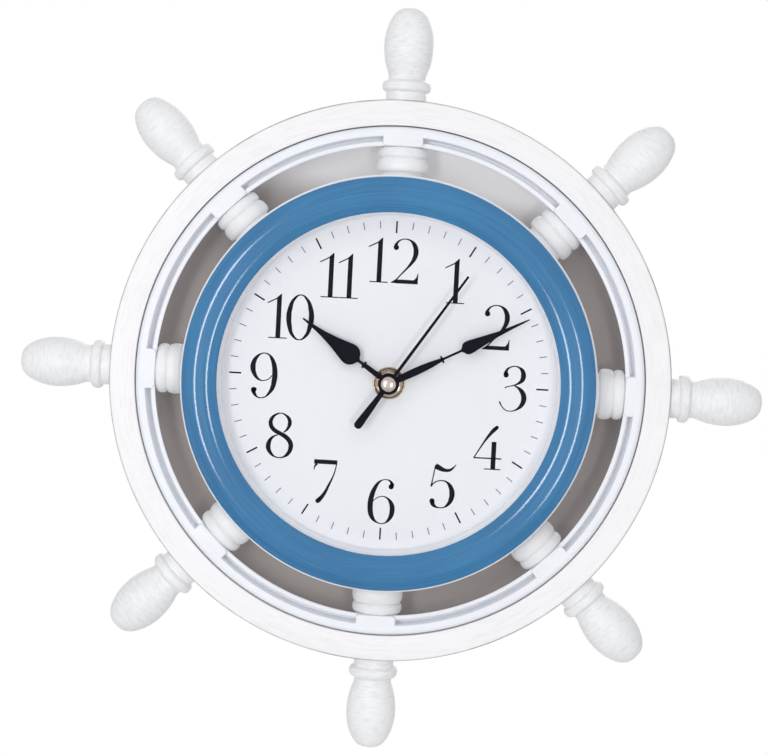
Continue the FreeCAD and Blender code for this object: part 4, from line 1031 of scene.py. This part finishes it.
def makeWorld():
    # the room is white to the camera and in reflections, and lights the clock more from the sides
    world = bpy.data.worlds.new("room")
    scene.world = world
    world.use_nodes = True
    wiring = Wiring(world.node_tree)
    depth = wiring.node("SeparateXYZ", output="Y", Vector=wiring.node("TexCoord", output="Generated"))
    strength = (1 - depth * depth) ** 2 * room["sides"] + room["front"]
    light = wiring.tree.nodes["Background"]
    wiring.fill(light, Color=room["tint"], Strength=strength)
    white = wiring.node("Background", Color=(1, 1, 1, 1), Strength=1.0)
    seen = wiring.node("LightPath", output="Is Camera Ray")
    for ray in ("Is Glossy Ray", "Is Transmission Ray"):
        seen = seen.sum("MAXIMUM", wiring.node("LightPath", output=ray))
    wiring.surface("World Output", seen, Level(wiring.tree, light.outputs[0]), white)


def makeLamp(name, values):
    lamp = bpy.data.lights.new(name, "AREA")
    lamp.shape = "RECTANGLE"
    lamp.size, lamp.size_y = values["size"]
    lamp.energy = values["power"]
    holder = bpy.data.objects.new(name, lamp)
    holder.visible_glossy = values["mirrored"]
    holder.location = values["place"]
    aim = lampTarget - Vector(values["place"])
    holder.rotation_euler = aim.to_track_quat("-Z", "Y").to_euler()
    scene.collection.objects.link(holder)


def makeCamera():
    azimuth, elevation, roll = (math.radians(view[name]) for name in ("azimuth", "elevation", "roll"))
    # the camera's own axes: back, right and up, then turned by the roll
    back = Vector((math.sin(azimuth) * math.cos(elevation), -math.cos(azimuth) * math.cos(elevation),
                   math.sin(elevation)))
    right = (-back).cross(Vector((0, 0, 1))).normalized()
    up = right.cross(-back)
    across = right * math.cos(roll) + up * math.sin(roll)
    upright = up * math.cos(roll) - right * math.sin(roll)
    turn = Matrix((across, upright, back)).transposed().to_4x4()
    data = bpy.data.cameras.new("camera")
    data.lens = view["focalPixels"] / view["frameWidth"] * view["sensorWidth"]
    data.sensor_width = view["sensorWidth"]
    data.shift_y = view["shiftPixels"] / view["frameWidth"]
    data.dof.use_dof = False
    camera = bpy.data.objects.new("camera", data)
    camera.matrix_world = Matrix.Translation(view["target"] + back * view["distance"]) @ turn
    scene.collection.objects.link(camera)
    scene.camera = camera


makeFloor()
makeWallDisc()
makeWorld()
for name, values in lamps.items():
    makeLamp(name, values)
makeCamera()
scene.view_settings.view_transform = "Standard"
print("stage set")
